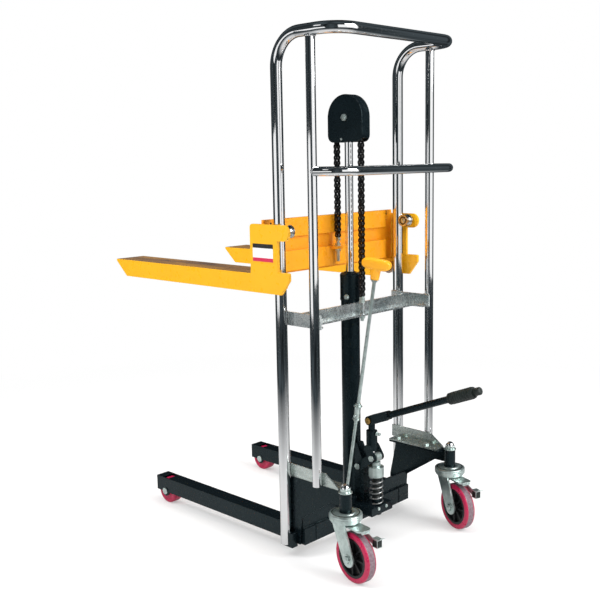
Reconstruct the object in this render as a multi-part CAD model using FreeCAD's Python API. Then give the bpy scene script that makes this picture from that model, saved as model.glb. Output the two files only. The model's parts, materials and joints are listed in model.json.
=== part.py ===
import FreeCAD
import Part
import math
import os

# Hand pallet stacker: tubular mast, lifting carriage with two forks, two floor legs with load
# rollers, two braked swivel casters, and a lever pump that lifts the carriage by a chain.
# Millimetres, +Z up, forks towards -Y, +X on the operator's left. Heights are above the floor,
# and y is counted from the plane of the two front mast tubes until the pieces are saved.

V = FreeCAD.Vector
X = V(1, 0, 0)
Z = V(0, 0, 1)
ORIGIN = V(0, 0, 0)
SIDES = {"left": 1, "right": -1}

# Fits
RUN_FIT = 0.05               # round a turning or sliding shaft
TOUCH_GAP = 0.3              # between pieces that pass close by
WELD_SADDLE = 0.5            # how far a welded plate is let into a round tube

# Mast
MAST_HALF = 262.0            # front tube centre from the middle
FRONT_TUBE_R = 16.0
STAY_R = 13.0
TUBE_WALL = 2.5
STAY_Y = 123.0               # rear stays behind the front tubes
HOOP_Z = 1459.0              # centre line of the push hoop
HOOP_RISE_R = 86.0
HOOP_CORNER_R = 70.0
HOOP_REAR_Y = 214.0
HANDLE_Z = 1099.0            # centre line of the middle handle
HANDLE_REAR_Y = 222.0
HANDLE_R = 12.5
HANDLE_CORNER_R = 60.0

# Middle cross beam
BEAM_Z = 676.0
BEAM_HEIGHT = 38.0
BEAM_PLATE = 5.0
BEAM_WEB_GAP = 3.0           # beam web behind the cylinder wall
BEAM_FLANGE = 22.0           # lower flange behind the web
BEAM_END_FLANGE = 16.0       # lower flange along an end plate
BEAM_END_OVERHANG = 10.0     # end plate beyond the tubes' centre lines

# Floor legs and load rollers
LEG_WIDTH = 48.0
LEG_HEIGHT = 48.0
LEG_WALL = 4.0
LEG_BOTTOM_Z = 40.0
LEG_TIP_Y = -634.0
ROLLER_AXLE_Y = -590.0
LOAD_ROLLER_R = 42.0
LOAD_ROLLER_WIDTH = 34.0
LOAD_ROLLER_EDGE = 4.0
LOAD_AXLE_R = 8.0
LOAD_AXLE_LUG_R = 17.0
LOAD_AXLE_CAP_R = 11.0
LOAD_AXLE_CAP_H = 4.0
POCKET_GAP = 6.0             # roller to the ends of its pocket
POCKET_SIDE_GAP = 3.0

# Chassis
CROSS_DEPTH = 60.0           # cross member, fore and aft
GUSSET_T = 6.0
GUSSET_OUT = 2.0             # gusset's outer face beyond the tubes' inner faces
GUSSET_LAP = 14.0            # gusset ahead of the cross member
GUSSET_TOE_RISE = 20.0       # front edge above the leg
GUSSET_HEEL_RISE = 32.0      # rear corner above the leg
GUSSET_HEEL_IN = 8.0
FLANGE_T = 6.0
FLANGE_TOP_Z = 238.0
FLANGE_WIDTH = 44.0
BRACKET_T = 4.0
BRACKET_HEIGHT = 37.0
BRACKET_TAIL = 25.0          # bracket's rear end ahead of the caster stem
BRACKET_SHOULDER = 19.0      # full height up to here, behind the stay's centre
SHOE_BOTTOM_Z = 33.0
SHOE_FLOOR = 5.0
SHOE_WIDTH = 22.0
SHOE_TOE = 8.0               # sole ahead of the tube's centre
SHOE_BACK_H = 37.0
SHOE_BACK_DEPTH = 16.0
BOLT_R = 5.0
BOLT_HEAD_R = 9.0
BOLT_HEAD_H = 5.0
FRONT_BOLT_Y = 30.0
REAR_BOLT_SET = 16.0         # rear bolt behind the stay's centre

# Casters
CASTER_Y = 214.0
CASTER_TRAIL = 42.0
CASTER_TURN_DEG = {"left": -10.0, "right": -20.0}    # as they last rolled
WHEEL_R = 70.0
WHEEL_WIDTH = 32.0
TYRE_THICKNESS = 15.0
TYRE_EDGE = 5.0
HUB_INSET = 1.0
HUB_RIM = 7.0
HUB_BOSS = 9.0
HUB_BOSS_OUT = 6.0           # boss beyond the hub's side
HUB_WEB = 8.0
HUB_RIBS = 8
HUB_RIB_T = 4.0
HUB_RIB_INSET = 2.0
CASTER_AXLE_R = 6.0
AXLE_HEAD_R = 10.0
AXLE_HEAD_H = 7.0
SOCKET_R = 17.0
SOCKET_DROP = 12.0           # socket below the gusset
STEM_R = 9.0
RACE_R = 46.0
RACE_H = 8.0
RACE_WIDTH = 14.0
RACE_TAPER = 6.0
RACE_CLEAR = 8.0             # gusset's lower corner ahead of the race
CROWN_R = 42.0
CROWN_T = 6.0
CROWN_GAP = 21.0             # crown above the tyre
FORK_LEG_T = 5.0
FORK_LEG_TOP_R = 24.0
FORK_FOOT_R = 22.0
WHEEL_SIDE_GAP = 8.0         # tyre to the fork leg
SPACER_GAP = 0.5             # hub boss to the spacer in the fork
SWIVEL_GAP = 0.4
KINGPIN_HEAD_R = 13.0
KINGPIN_HEAD_H = 4.0
WASHER_R = 16.0
WASHER_H = 2.0
NUT_R = 12.0
NUT_CORNER_R = 14.0
NUT_H = 11.0
BRAKE_T = 4.0
BRAKE_HALF_W = 22.0
BRAKE_DROP = 3.0             # tongue below the crown's lower face
BRAKE_REAR_Y = 86.0          # tongue's end behind the stem
BRAKE_CORNER = 9.0
BRAKE_LIP = 9.0
BRAKE_PIN_R = 4.0
BRAKE_PIN_Y = 20.0           # behind the stem
BRAKE_PIN_DROP = 9.0         # below the crown's lower face
BRAKE_ARM_T = 3.0
BRAKE_EYE_R = 6.0
BRAKE_FOOT_R = 8.0
PAD_Y = 98.0                 # behind the stem
PAD_DROP = 40.0              # below the crown's lower face
PAD_HALF_Y = 10.0
PAD_HALF_Z = 11.0
PAD_OUT = 14.0               # beyond the arm
PEDAL_T = 2.5
PEDAL_REACH = 12.0
PEDAL_RISE = 6.0

# Lift cylinder and ram
CYL_Y = 26.0
CYL_R = 27.5
CYL_BORE_R = 22.5
CYL_TOP_Z = 786.0
CYL_FLOOR = 14.0
GLAND_R = 29.5
GLAND_TOP_Z = 800.0
GLAND_BEVEL = 5.0
GLAND_LOW_GAP = 4.0          # collar's lower edge above the beam
ROD_R = 12.0
PISTON_H = 40.0
PISTON_TOP_GAP = 1.0         # under the gland when the ram is fully up
RAM_UP = 185.0               # travel left above the shown height; the carriage moves twice as far

# Chain and its head on top of the ram
CHAIN_PITCH = 15.875
SPROCKET_TEETH = 18
CHAIN_ROLLER_R = 5.08
CHAIN_PLATE_H = 14.4
CHAIN_WAIST_H = 10.0
CHAIN_INNER_W = 9.65
CHAIN_PLATE_T = 1.7
SPROCKET_Z = 1247.0
SPROCKET_T = 9.0
SPROCKET_HOLES = 6
SPROCKET_HOLE_R = 6.5
SPROCKET_HOLE_RING_R = 25.0
COVER_T = 3.0
COVER_GAP = 9.0              # chain to the cover's inner face
COVER_DROP = 70.0            # cover's lower edge below the sprocket's centre
COVER_CORNER_R = 20.0
COVER_HALF_W = 17.0
COVER_BOSS_R = 11.0
YOKE_T = 4.0
YOKE_GAP = 0.4               # sprocket side to the yoke cheek
YOKE_HALF_Y = 17.0
YOKE_CHEEK_R = 15.0
YOKE_BASE_H = 24.0
HEAD_AXLE_R = 7.0
HEAD_AXLE_NUT_R = 11.0
HEAD_AXLE_NUT_H = 5.0
STUD_R = 5.0
STUD_EYE_R = 6.5
STUD_LENGTH = 66.0
STUD_NUT_R = 9.0
STUD_NUT_H = 8.0
STUD_BOSS_R = 9.5
FRONT_STUD_RISE = 20.0       # stud eye above its shelf
REAR_STUD_RISE = 12.0        # stud eye above the beam

# Carriage and forks
SIDE_PLATE_T = 8.0
SIDE_PLATE_GAP = 4.0         # between the front tube and the side plate
PLATE_FRONT_Y = -90.0
PLATE_TOP_Z = 957.0
PLATE_CORNER_R = 10.0
PLATE_BACK_Y = 18.0
EAR_R = 22.0
EAR_Y = 40.0
HEEL_Y = 61.0
HEEL_TOP_Z = 828.0
HEEL_DEPTH = 21.0            # upright edge of the heel
HEEL_TOE_Y = 29.0            # slope under the heel ends here
HEEL_CORNER_R = 4.0
FORK_TOP_Z = 819.0
FORK_DEPTH = 53.0
FORK_WIDTH = 106.0
FORK_TOP_T = 6.0
FORK_WALL = 5.0
FORK_LIP = 10.0
FORK_LENGTH = 646.0          # from the side plate's front edge to the tip
FORK_BEVEL = 52.0
BACK_PLATE_T = 8.0
BACK_PLATE_Y = -50.0
BACK_PLATE_TOP_Z = 968.0
BAND_H = 52.0
BAND_T = 11.0
BAND_TUBE_GAP = 6.0
SHELF_Z = 868.0
SHELF_T = 8.0
SHELF_HALF = 21.0
SHELF_EDGE = 4.0             # shelf behind the stud's nut
GUIDE_CORE_R = 13.0
GUIDE_HALF_W = 12.0
GUIDE_AXLE_R = 6.0
GUIDE_AXLE_SEAT = 5.0         # axle's end inside the side plate
GUIDE_SPACER_R = 9.0
UPPER_GUIDE_Z = 937.0
LOWER_GUIDE_Z = 786.0

# Pump, rocker and lever
PUMP_HALF_W = 48.0
PUMP_BACK_EDGE = 1.5         # base behind the spring
PUMP_BASE_H = 24.0
WELL_R = 15.0
WELL_DEPTH = 8.0
WELL_FLOOR = 6.0
SLEEVE_R = 13.0              # plunger sleeve inside the spring
SLEEVE_H = 20.0
COLUMN_HALF_W = 15.0
COLUMN_REAR_Y = 84.0
COLUMN_TOP_Z = 288.0
COLUMN_TOP_LAP = 6.0         # column's top behind the cylinder wall
PIVOT_Y = 67.0
PIVOT_Z = 220.0
PIVOT_R = 6.0
PIN_HEAD_R = 9.5
PIN_HEAD_H = 4.0
PLUNGER_Y = 121.0
PLUNGER_R = 9.0
PLUNGER_CAP_R = 23.0
PLUNGER_CAP_H = 30.0
PLUNGER_TIP_R = 13.0
PLUNGER_TIP_H = 14.0
PLUNGER_FLOOR_GAP = 1.0
SPRING_R = 18.5              # centre line of the wire
SPRING_WIRE = 5.0
SPRING_TURNS = 5.0
SPRING_LENGTH = 85.0
ROCKER_GAP = 0.6
ROCKER_T = 6.0
ROCKER_EYE_R = 13.0
ROCKER_TOP_R = 12.0
ROCKER_TOP_RISE = 8.0        # cheeks end this far up the socket tube
ROCKER_FLOOR_T = 12.0
ROCKER_ROLLER_R = 14.0
ROCKER_ROLLER_SIDE = 4.0
ROLLER_LIFT = 0.4            # rocker roller above the plunger
SOCKET_TUBE_R = 16.5
SOCKET_TUBE_Y = 105.0
SOCKET_TUBE_Z = 274.0
SOCKET_TUBE_H = 60.0
POST_R = 10.0
KNUCKLE_Z = 366.0
KNUCKLE_R = 14.0
KNUCKLE_HALF_W = 9.0
CLEVIS_T = 6.0
CLEVIS_CLEAR = 3.0           # clevis block beyond the knuckle
CLEVIS_END_R = 13.0
LEVER_TILT_DEG = 22.0
LEVER_R = 10.0
LEVER_START = 60.0           # from the knuckle pin to the end of the clevis block
LEVER_LENGTH = 404.0         # from the knuckle pin to the end of the grip
GRIP_R = 17.0
GRIP_LENGTH = 106.0
GRIP_END = 4.0               # rubber beyond the lever's end, ahead of the knob
GRIP_KNOB_R = 11.0
GRIP_KNOB_H = 22.0
PUMP_STROKE_DEG = 25.0
PUMP_RATIO = 65.5            # plunger travel per radian of the rocker

# Release rod
RELEASE_X = 45.0
RELEASE_FOOT_Y = 42.0
RELEASE_FOOT_Z = 130.0
RELEASE_HEAD_Y = 156.0
RELEASE_HEAD_Z = 794.0
RELEASE_ROD_R = 5.0
RELEASE_JOINT_Z = 395.0
JOINT_LOW_R = 8.5
JOINT_LOW_H = 18.0
JOINT_TOP_R = 9.0
JOINT_TOP_H = 20.0
VALVE_HALF = 15.0
VALVE_DEPTH = 24.0
VALVE_FOOT_GAP = 2.0
T_BAR_HALF = 44.0
T_BAR_R = 16.0
T_BAR_END_R = 10.0
T_BAR_END = 9.0
T_BAR_RISE = 45.0
T_NECK_R = 13.0
T_NECK_FOOT_R = 11.0
T_NECK_BORE = 12.0
T_BAR_TURN_DEG = 22.0

# Places worked out from the driving sizes
TUBE_INNER_X = MAST_HALF - FRONT_TUBE_R
TUBE_OUTER_X = MAST_HALF + FRONT_TUBE_R
STAY_X = TUBE_INNER_X + STAY_R
GUSSET_X1 = TUBE_INNER_X + GUSSET_OUT
GUSSET_X0 = GUSSET_X1 - GUSSET_T
GUSSET_MID_X = (GUSSET_X0 + GUSSET_X1) / 2
FLANGE_X0 = TUBE_INNER_X - FLANGE_WIDTH
BOLT_X = TUBE_INNER_X - FLANGE_WIDTH / 2
WELD_X = TUBE_INNER_X + WELD_SADDLE
LEG_X1 = GUSSET_X0
LEG_X0 = LEG_X1 - LEG_WIDTH
LEG_X = (LEG_X0 + LEG_X1) / 2
LEG_TOP_Z = LEG_BOTTOM_Z + LEG_HEIGHT
CROSS_Y0 = CYL_Y - CROSS_DEPTH / 2
CROSS_Y1 = CYL_Y + CROSS_DEPTH / 2
FLANGE_Y0 = CROSS_Y0 + GUSSET_LAP
PISTON_Z = CYL_TOP_Z - PISTON_TOP_GAP - RAM_UP - PISTON_H
BEAM_WEB_Y = CYL_Y + CYL_R + BEAM_WEB_GAP
BEAM_REAR_Y = BEAM_WEB_Y + BEAM_PLATE
BEAM_TOP_Z = BEAM_Z + BEAM_HEIGHT
SPROCKET_R = CHAIN_PITCH / 2 / math.sin(math.pi / SPROCKET_TEETH)
CHAIN_OUT_R = SPROCKET_R + CHAIN_PLATE_H / 2
CHAIN_FRONT_Y = CYL_Y - SPROCKET_R
CHAIN_REAR_Y = CYL_Y + SPROCKET_R
COVER_R = CHAIN_OUT_R + COVER_GAP + COVER_T
HEAD_BOTTOM_Z = SPROCKET_Z - COVER_DROP
YOKE_X0 = CHAIN_INNER_W / 2 + YOKE_GAP
YOKE_X1 = YOKE_X0 + YOKE_T
SIDE_X0 = TUBE_OUTER_X + SIDE_PLATE_GAP
SIDE_X1 = SIDE_X0 + SIDE_PLATE_T
FORK_BOTTOM_Z = FORK_TOP_Z - FORK_DEPTH
FORK_INNER_TOP_Z = FORK_TOP_Z - FORK_TOP_T
FORK_TIP_Y = PLATE_FRONT_Y - FORK_LENGTH
FORK_X1 = SIDE_X1
FORK_X0 = FORK_X1 - FORK_WIDTH
GUIDE_GROOVE_R = FRONT_TUBE_R + TOUCH_GAP
GUIDE_CENTRE = GUIDE_GROOVE_R + GUIDE_CORE_R
BAND_REAR_Y = BACK_PLATE_Y + BACK_PLATE_T + BAND_T
SHELF_TOP_Z = SHELF_Z + SHELF_T
FRONT_STUD_TOP_Z = SHELF_TOP_Z + FRONT_STUD_RISE
REAR_STUD_TOP_Z = BEAM_TOP_Z + REAR_STUD_RISE
WHEEL_Z = WHEEL_R
CROWN_Z0 = 2 * WHEEL_R + CROWN_GAP
CROWN_Z1 = CROWN_Z0 + CROWN_T
RACE_Z0 = CROWN_Z1 + RACE_H + SWIVEL_GAP
RACE_Z1 = RACE_Z0 + RACE_H
HUB_HALF_X = WHEEL_WIDTH / 2 - HUB_INSET
HUB_BOSS_X = HUB_HALF_X + HUB_BOSS_OUT
FORK_GAP_X = WHEEL_WIDTH / 2 + WHEEL_SIDE_GAP
FORK_OUT_X = FORK_GAP_X + FORK_LEG_T
BRAKE_PIN_Z = CROWN_Z0 - BRAKE_PIN_DROP
PAD_Z = CROWN_Z0 - PAD_DROP
PUMP_TOP_Z = LEG_TOP_Z + PUMP_BASE_H
PUMP_REAR_Y = PLUNGER_Y + SPRING_R + SPRING_WIRE / 2 + PUMP_BACK_EDGE
WELL_Z = LEG_TOP_Z - WELL_DEPTH
SPRING_SEAT_Z = PUMP_TOP_Z + SPRING_LENGTH
PLUNGER_TIP_Z = SPRING_SEAT_Z + PLUNGER_CAP_H + PLUNGER_TIP_H
ROCKER_ROLLER_Z = PLUNGER_TIP_Z + ROLLER_LIFT + ROCKER_ROLLER_R
ROCKER_X0 = COLUMN_HALF_W + ROCKER_GAP
ROCKER_X1 = ROCKER_X0 + ROCKER_T
ROCKER_PINS = ((PIVOT_Y, PIVOT_Z), (PLUNGER_Y, ROCKER_ROLLER_Z))
KNUCKLE = V(0, SOCKET_TUBE_Y, KNUCKLE_Z)
LEVER_TILT = math.radians(LEVER_TILT_DEG)
LEVER_DIR = V(0, math.cos(LEVER_TILT), math.sin(LEVER_TILT))
RELEASE_FOOT = V(RELEASE_X, RELEASE_FOOT_Y, RELEASE_FOOT_Z)
RELEASE_HEAD = V(RELEASE_X, RELEASE_HEAD_Y, RELEASE_HEAD_Z)
RELEASE_DIR = (RELEASE_HEAD - RELEASE_FOOT).normalize()
REAR_Y = SOCKET_TUBE_Y + LEVER_LENGTH * math.cos(LEVER_TILT) + GRIP_KNOB_R * math.sin(LEVER_TILT)
MAST_Y = -(FORK_TIP_Y + REAR_Y) / 2      # puts the origin midway between fork tips and grip

pieces = {}


def keep(name, *solids):
    """Put the solids of one node at their place in the finished frame."""
    shape = solids[0] if len(solids) == 1 else Part.makeCompound(list(solids))
    shape.translate(V(0, MAST_Y, 0))
    pieces[name] = shape


def keep_pair(name, left):
    """Save a left-hand piece and its mirror image as two nodes."""
    right = mirrored(left)
    keep(name + "_left", left)
    keep(name + "_right", right)


def mirrored(shape):
    return shape.mirror(ORIGIN, X)


def box(x0, x1, y0, y1, z0, z1):
    return Part.makeBox(x1 - x0, y1 - y0, z1 - z0, V(x0, y0, z0))


def rod(start, end, radius):
    axis = end - start
    return Part.makeCylinder(radius, axis.Length, start, axis)


def upright(x, y, z0, z1, radius):
    return rod(V(x, y, z0), V(x, y, z1), radius)


def across(y, z, x0, x1, radius):
    return rod(V(x0, y, z), V(x1, y, z), radius)


def drill_down(x, y, radius):
    """Round cutter through every height."""
    return upright(x, y, 0, HOOP_Z, radius)


def drill_across(y, z, radius):
    """Round cutter through every piece between the mast tubes."""
    return across(y, z, -MAST_HALF, MAST_HALF, radius)


def slab(side, near, thickness):
    """Low and high x of a plate that stands a distance from the middle, on one side."""
    return sorted((side * near, side * (near + thickness)))


def plate_yz(corners, x0, x1):
    """Flat plate with its outline in the y-z plane; a corner's third number rounds it."""
    places = [V(x0, corner[0], corner[1]) for corner in corners]
    stretches = []
    for i, corner in enumerate(corners):
        radius = corner[2] if len(corner) > 2 else 0.0
        before = (places[i - 1] - places[i]).normalize()
        after = (places[(i + 1) % len(places)] - places[i]).normalize()
        half = before.getAngle(after) / 2
        trim = radius / math.tan(half)
        inward = (before + after).normalize() * (radius / math.sin(half) - radius)
        stretches.append((places[i] + before * trim, places[i] + inward, places[i] + after * trim))
    edges = []
    for i, (start, middle, end) in enumerate(stretches):
        last_end = stretches[i - 1][2]
        if not last_end.isEqual(start, 1e-6):
            edges.append(Part.makeLine(last_end, start))
        if not start.isEqual(end, 1e-6):
            edges.append(Part.Arc(start, middle, end).toShape())
    return Part.Face(Part.Wire(edges)).extrude(V(x1 - x0, 0, 0))


def strap_yz(y_a, z_a, r_a, y_b, z_b, r_b, x0, x1):
    """Plate that tapers between two round eyes."""
    a = V(x0, y_a, z_a)
    b = V(x0, y_b, z_b)
    span = b - a
    along = V(span).normalize()
    side = X.cross(along)
    lean = math.asin((r_a - r_b) / span.Length)
    up = side * math.cos(lean) + along * math.sin(lean)
    down = side * -math.cos(lean) + along * math.sin(lean)
    edges = [
        Part.makeLine(a + up * r_a, b + up * r_b),
        Part.Arc(b + up * r_b, b + along * r_b, b + down * r_b).toShape(),
        Part.makeLine(b + down * r_b, a + down * r_a),
        Part.Arc(a + down * r_a, a - along * r_a, a + up * r_a).toShape(),
    ]
    return Part.Face(Part.Wire(edges)).extrude(V(x1 - x0, 0, 0))


def round_section(centre, axis, radius, bore):
    """Flat disc square to a run, or a ring where there is a bore."""
    rims = [Part.Wire(Part.makeCircle(radius, centre, axis))]
    if bore > 0:
        rims.append(Part.Wire(Part.makeCircle(bore, centre, axis)))
    return Part.makeFace(rims, "Part::FaceMakerBullseye")


def bent_tube(points, bends, radius, bore=0):
    """Round tube, or bar without a bore, with a bend of its own radius at each inner point."""
    start = points[0]
    solids = []
    for i in range(1, len(points)):
        run = (points[i] - points[i - 1]).normalize()
        section = round_section(start, run, radius, bore)
        if i == len(points) - 1:
            solids.append(section.extrude(points[i] - start))
            break
        after = (points[i + 1] - points[i]).normalize()
        turn = run.getAngle(after)
        trim = bends[i - 1] * math.tan(turn / 2)
        end = points[i] - run * trim
        if not end.isEqual(start, 1e-6):
            solids.append(section.extrude(end - start))
        axis = run.cross(after)
        centre = end + axis.cross(run).normalize() * bends[i - 1]
        solids.append(round_section(end, run, radius, bore).revolve(centre, axis, math.degrees(turn)))
        start = points[i] + after * trim
        if start.isEqual(points[-1], 1e-6):
            break
    return solids[0].fuse(solids[1:]).removeSplitter()


def hex_prism(centre, axis, radius, height):
    """Six-sided head or nut standing on a face."""
    probe = Z if abs(axis.dot(Z)) < 0.9 else X
    u = axis.cross(probe).normalize()
    w = axis.cross(u).normalize()
    corners = []
    for i in range(6):
        turn = math.pi / 3 * i
        corners.append(centre + u * (radius * math.cos(turn)) + w * (radius * math.sin(turn)))
    face = Part.Face(Part.makePolygon(corners + corners[:1]))
    return face.extrude(V(axis) * height)


def revolve_x(profile, centre):
    """Turn a profile of (x, radius) points about the x direction through a centre."""
    corners = [centre + V(x, 0, r) for x, r in profile]
    face = Part.Face(Part.makePolygon(corners + corners[:1]))
    return face.revolve(centre, X, 360)


def largest(shape):
    """The main solid of a shape that a cut has split."""
    return max(shape.Solids, key=lambda solid: solid.Volume)


def cut_tubes(plate):
    """Notch a left-hand plate where the mast tube and the stay pass it."""
    return plate.cut(drill_down(MAST_HALF, 0, FRONT_TUBE_R)).cut(drill_down(STAY_X, STAY_Y, STAY_R))


def build_mast():
    bend_z = HOOP_Z - HOOP_RISE_R
    foot_z = SHOE_BOTTOM_Z + SHOE_FLOOR
    bore = FRONT_TUBE_R - TUBE_WALL
    tube = upright(MAST_HALF, 0, foot_z, bend_z, FRONT_TUBE_R)
    keep_pair("mast_upright", tube.cut(upright(MAST_HALF, 0, foot_z, bend_z, bore)))
    path = [
        V(MAST_HALF, 0, bend_z),
        V(MAST_HALF, 0, HOOP_Z),
        V(MAST_HALF, HOOP_REAR_Y, HOOP_Z),
        V(-MAST_HALF, HOOP_REAR_Y, HOOP_Z),
        V(-MAST_HALF, 0, HOOP_Z),
        V(-MAST_HALF, 0, bend_z),
    ]
    bends = [HOOP_RISE_R, HOOP_CORNER_R, HOOP_CORNER_R, HOOP_RISE_R]
    hoop = bent_tube(path, bends, FRONT_TUBE_R)
    stay = upright(STAY_X, STAY_Y, FLANGE_TOP_Z, HOOP_Z, STAY_R)
    stay = stay.cut(upright(STAY_X, STAY_Y, FLANGE_TOP_Z, HOOP_Z, STAY_R - TUBE_WALL))
    keep_pair("mast_stay", largest(stay.cut(hoop)))
    keep("push_hoop", bent_tube(path, bends, FRONT_TUBE_R, bore))
    build_handle()


def build_handle():
    path = [
        V(STAY_X, STAY_Y, HANDLE_Z),
        V(STAY_X, HANDLE_REAR_Y, HANDLE_Z),
        V(-STAY_X, HANDLE_REAR_Y, HANDLE_Z),
        V(-STAY_X, STAY_Y, HANDLE_Z),
    ]
    bends = [HANDLE_CORNER_R, HANDLE_CORNER_R]
    bar = bent_tube(path, bends, HANDLE_R, HANDLE_R - TUBE_WALL)
    for side in SIDES.values():
        bar = bar.cut(drill_down(side * STAY_X, STAY_Y, STAY_R))
    keep("mid_handle", largest(bar))


def build_beam():
    """Angle-section beam behind the cylinder, with end plates on the mast tubes."""
    end_x0 = WELD_X - BEAM_PLATE
    lip_z = BEAM_Z + BEAM_PLATE
    end_y0 = -BEAM_END_OVERHANG
    end_y1 = STAY_Y + BEAM_END_OVERHANG
    end = box(end_x0, WELD_X, end_y0, end_y1, BEAM_Z, BEAM_TOP_Z)
    end_lip = box(end_x0 - BEAM_END_FLANGE, end_x0, BEAM_REAR_Y, STAY_Y, BEAM_Z, lip_z)
    end = cut_tubes(end.fuse(end_lip))
    web = box(-end_x0, end_x0, BEAM_WEB_Y, BEAM_REAR_Y, BEAM_Z, BEAM_TOP_Z)
    lip = box(-end_x0, end_x0, BEAM_REAR_Y, BEAM_REAR_Y + BEAM_FLANGE, BEAM_Z, lip_z)
    boss = upright(0, CHAIN_REAR_Y, BEAM_Z, BEAM_TOP_Z, STUD_BOSS_R)
    boss_root = box(-STUD_BOSS_R, STUD_BOSS_R, BEAM_WEB_Y, CHAIN_REAR_Y, BEAM_Z, BEAM_TOP_Z)
    saddle = box(-CYL_R / 2, CYL_R / 2, CYL_Y, BEAM_WEB_Y, BEAM_Z, BEAM_TOP_Z)
    beam = web.fuse([lip, boss, boss_root, saddle, end, mirrored(end)])
    beam = beam.cut(drill_down(0, CYL_Y, CYL_R)).cut(drill_down(0, CHAIN_REAR_Y, STUD_R))
    keep("cross_beam", beam.removeSplitter())
    keep("rear_chain_stud", *stud(CHAIN_REAR_Y, REAR_STUD_TOP_Z, BEAM_TOP_Z, BEAM_Z))


def stud(y, top_z, seat_top, seat_bottom):
    """Threaded chain anchor with an eye, and a nut on each side of its seat."""
    shank = upright(0, y, top_z - STUD_LENGTH, top_z, STUD_R)
    eye = across(y, top_z, -CHAIN_INNER_W / 2, CHAIN_INNER_W / 2, STUD_EYE_R)
    nuts = []
    for foot_z in (seat_top, seat_bottom - STUD_NUT_H):
        nut = hex_prism(V(0, y, foot_z), Z, STUD_NUT_R, STUD_NUT_H)
        nuts.append(nut.cut(drill_down(0, y, STUD_R)))
    return [shank.fuse(eye).removeSplitter()] + nuts


def build_chassis():
    build_legs()
    build_gussets()
    build_shoes()
    build_brackets()


def build_legs():
    wall = LEG_WALL
    leg = box(LEG_X0, LEG_X1, LEG_TIP_Y, CROSS_Y1, LEG_BOTTOM_Z, LEG_TOP_Z)
    leg = leg.cut(box(LEG_X0 + wall, LEG_X1 - wall, LEG_TIP_Y + wall, CROSS_Y1 - wall,
                      LEG_BOTTOM_Z + wall, LEG_TOP_Z - wall))
    for x0 in (LEG_X0, LEG_X1 - wall):
        lug = strap_yz(ROLLER_AXLE_Y, LOAD_ROLLER_R, LOAD_AXLE_LUG_R,
                       ROLLER_AXLE_Y, LEG_TOP_Z - LOAD_AXLE_LUG_R, LOAD_AXLE_LUG_R, x0, x0 + wall)
        leg = leg.fuse(lug)
    pocket_half = LOAD_ROLLER_WIDTH / 2 + POCKET_SIDE_GAP
    pocket = across(ROLLER_AXLE_Y, LOAD_ROLLER_R, LEG_X - pocket_half, LEG_X + pocket_half,
                    LOAD_ROLLER_R + POCKET_GAP)
    leg = leg.cut(pocket).cut(across(ROLLER_AXLE_Y, LOAD_ROLLER_R, LEG_X0, LEG_X1, LOAD_AXLE_R))
    keep_pair("floor_leg", leg.removeSplitter())
    outer = box(-LEG_X0, LEG_X0, CROSS_Y0, CROSS_Y1, LEG_BOTTOM_Z, LEG_TOP_Z)
    room = box(-LEG_X0, LEG_X0, CROSS_Y0 + wall, CROSS_Y1 - wall,
               LEG_BOTTOM_Z + wall, LEG_TOP_Z - wall)
    keep("cross_member", outer.cut(room))


def build_gussets():
    under_z = RACE_Z1 + SOCKET_DROP
    outline = [
        (CROSS_Y0 - GUSSET_LAP, LEG_BOTTOM_Z),
        (CROSS_Y1 - GUSSET_LAP, LEG_BOTTOM_Z),
        (CROSS_Y1 - GUSSET_HEEL_IN, LEG_TOP_Z + GUSSET_HEEL_RISE),
        (CASTER_Y - RACE_R - RACE_CLEAR, under_z),
        (CASTER_Y, under_z),
        (CASTER_Y, FLANGE_TOP_Z),
        (FLANGE_Y0, FLANGE_TOP_Z),
        (CROSS_Y0 - GUSSET_LAP, LEG_TOP_Z + GUSSET_TOE_RISE),
    ]
    web = plate_yz(outline, GUSSET_X0, GUSSET_X1)
    flange = box(FLANGE_X0, GUSSET_X1, FLANGE_Y0, CASTER_Y - SOCKET_R,
                 FLANGE_TOP_Z - FLANGE_T, FLANGE_TOP_Z)
    socket = upright(GUSSET_MID_X, CASTER_Y, RACE_Z1, FLANGE_TOP_Z, SOCKET_R)
    gusset = web.fuse([flange, socket])
    gusset = gusset.cut(drill_down(GUSSET_MID_X, CASTER_Y, STEM_R))
    gusset = gusset.cut(drill_down(MAST_HALF, 0, FRONT_TUBE_R))
    for y in bracket_bolt_ys():
        gusset = gusset.cut(drill_down(BOLT_X, y, BOLT_R))
    keep_pair("chassis_gusset", gusset.removeSplitter())


def build_shoes():
    """Foot under each front tube, with a block behind the tube, welded to the gusset."""
    foot_z = SHOE_BOTTOM_Z + SHOE_FLOOR
    back_y = FRONT_TUBE_R + SHOE_BACK_DEPTH
    x1 = GUSSET_X1 + SHOE_WIDTH
    sole = box(GUSSET_X1, x1, -SHOE_TOE, back_y, SHOE_BOTTOM_Z, foot_z)
    back = box(GUSSET_X1, x1, FRONT_TUBE_R, back_y, SHOE_BOTTOM_Z, foot_z + SHOE_BACK_H)
    shoe = sole.fuse(back).removeSplitter()
    keep("tube_shoes", shoe, mirrored(shoe))


def bracket_bolt_ys():
    return (FRONT_BOLT_Y, STAY_Y + REAR_BOLT_SET)


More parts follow.
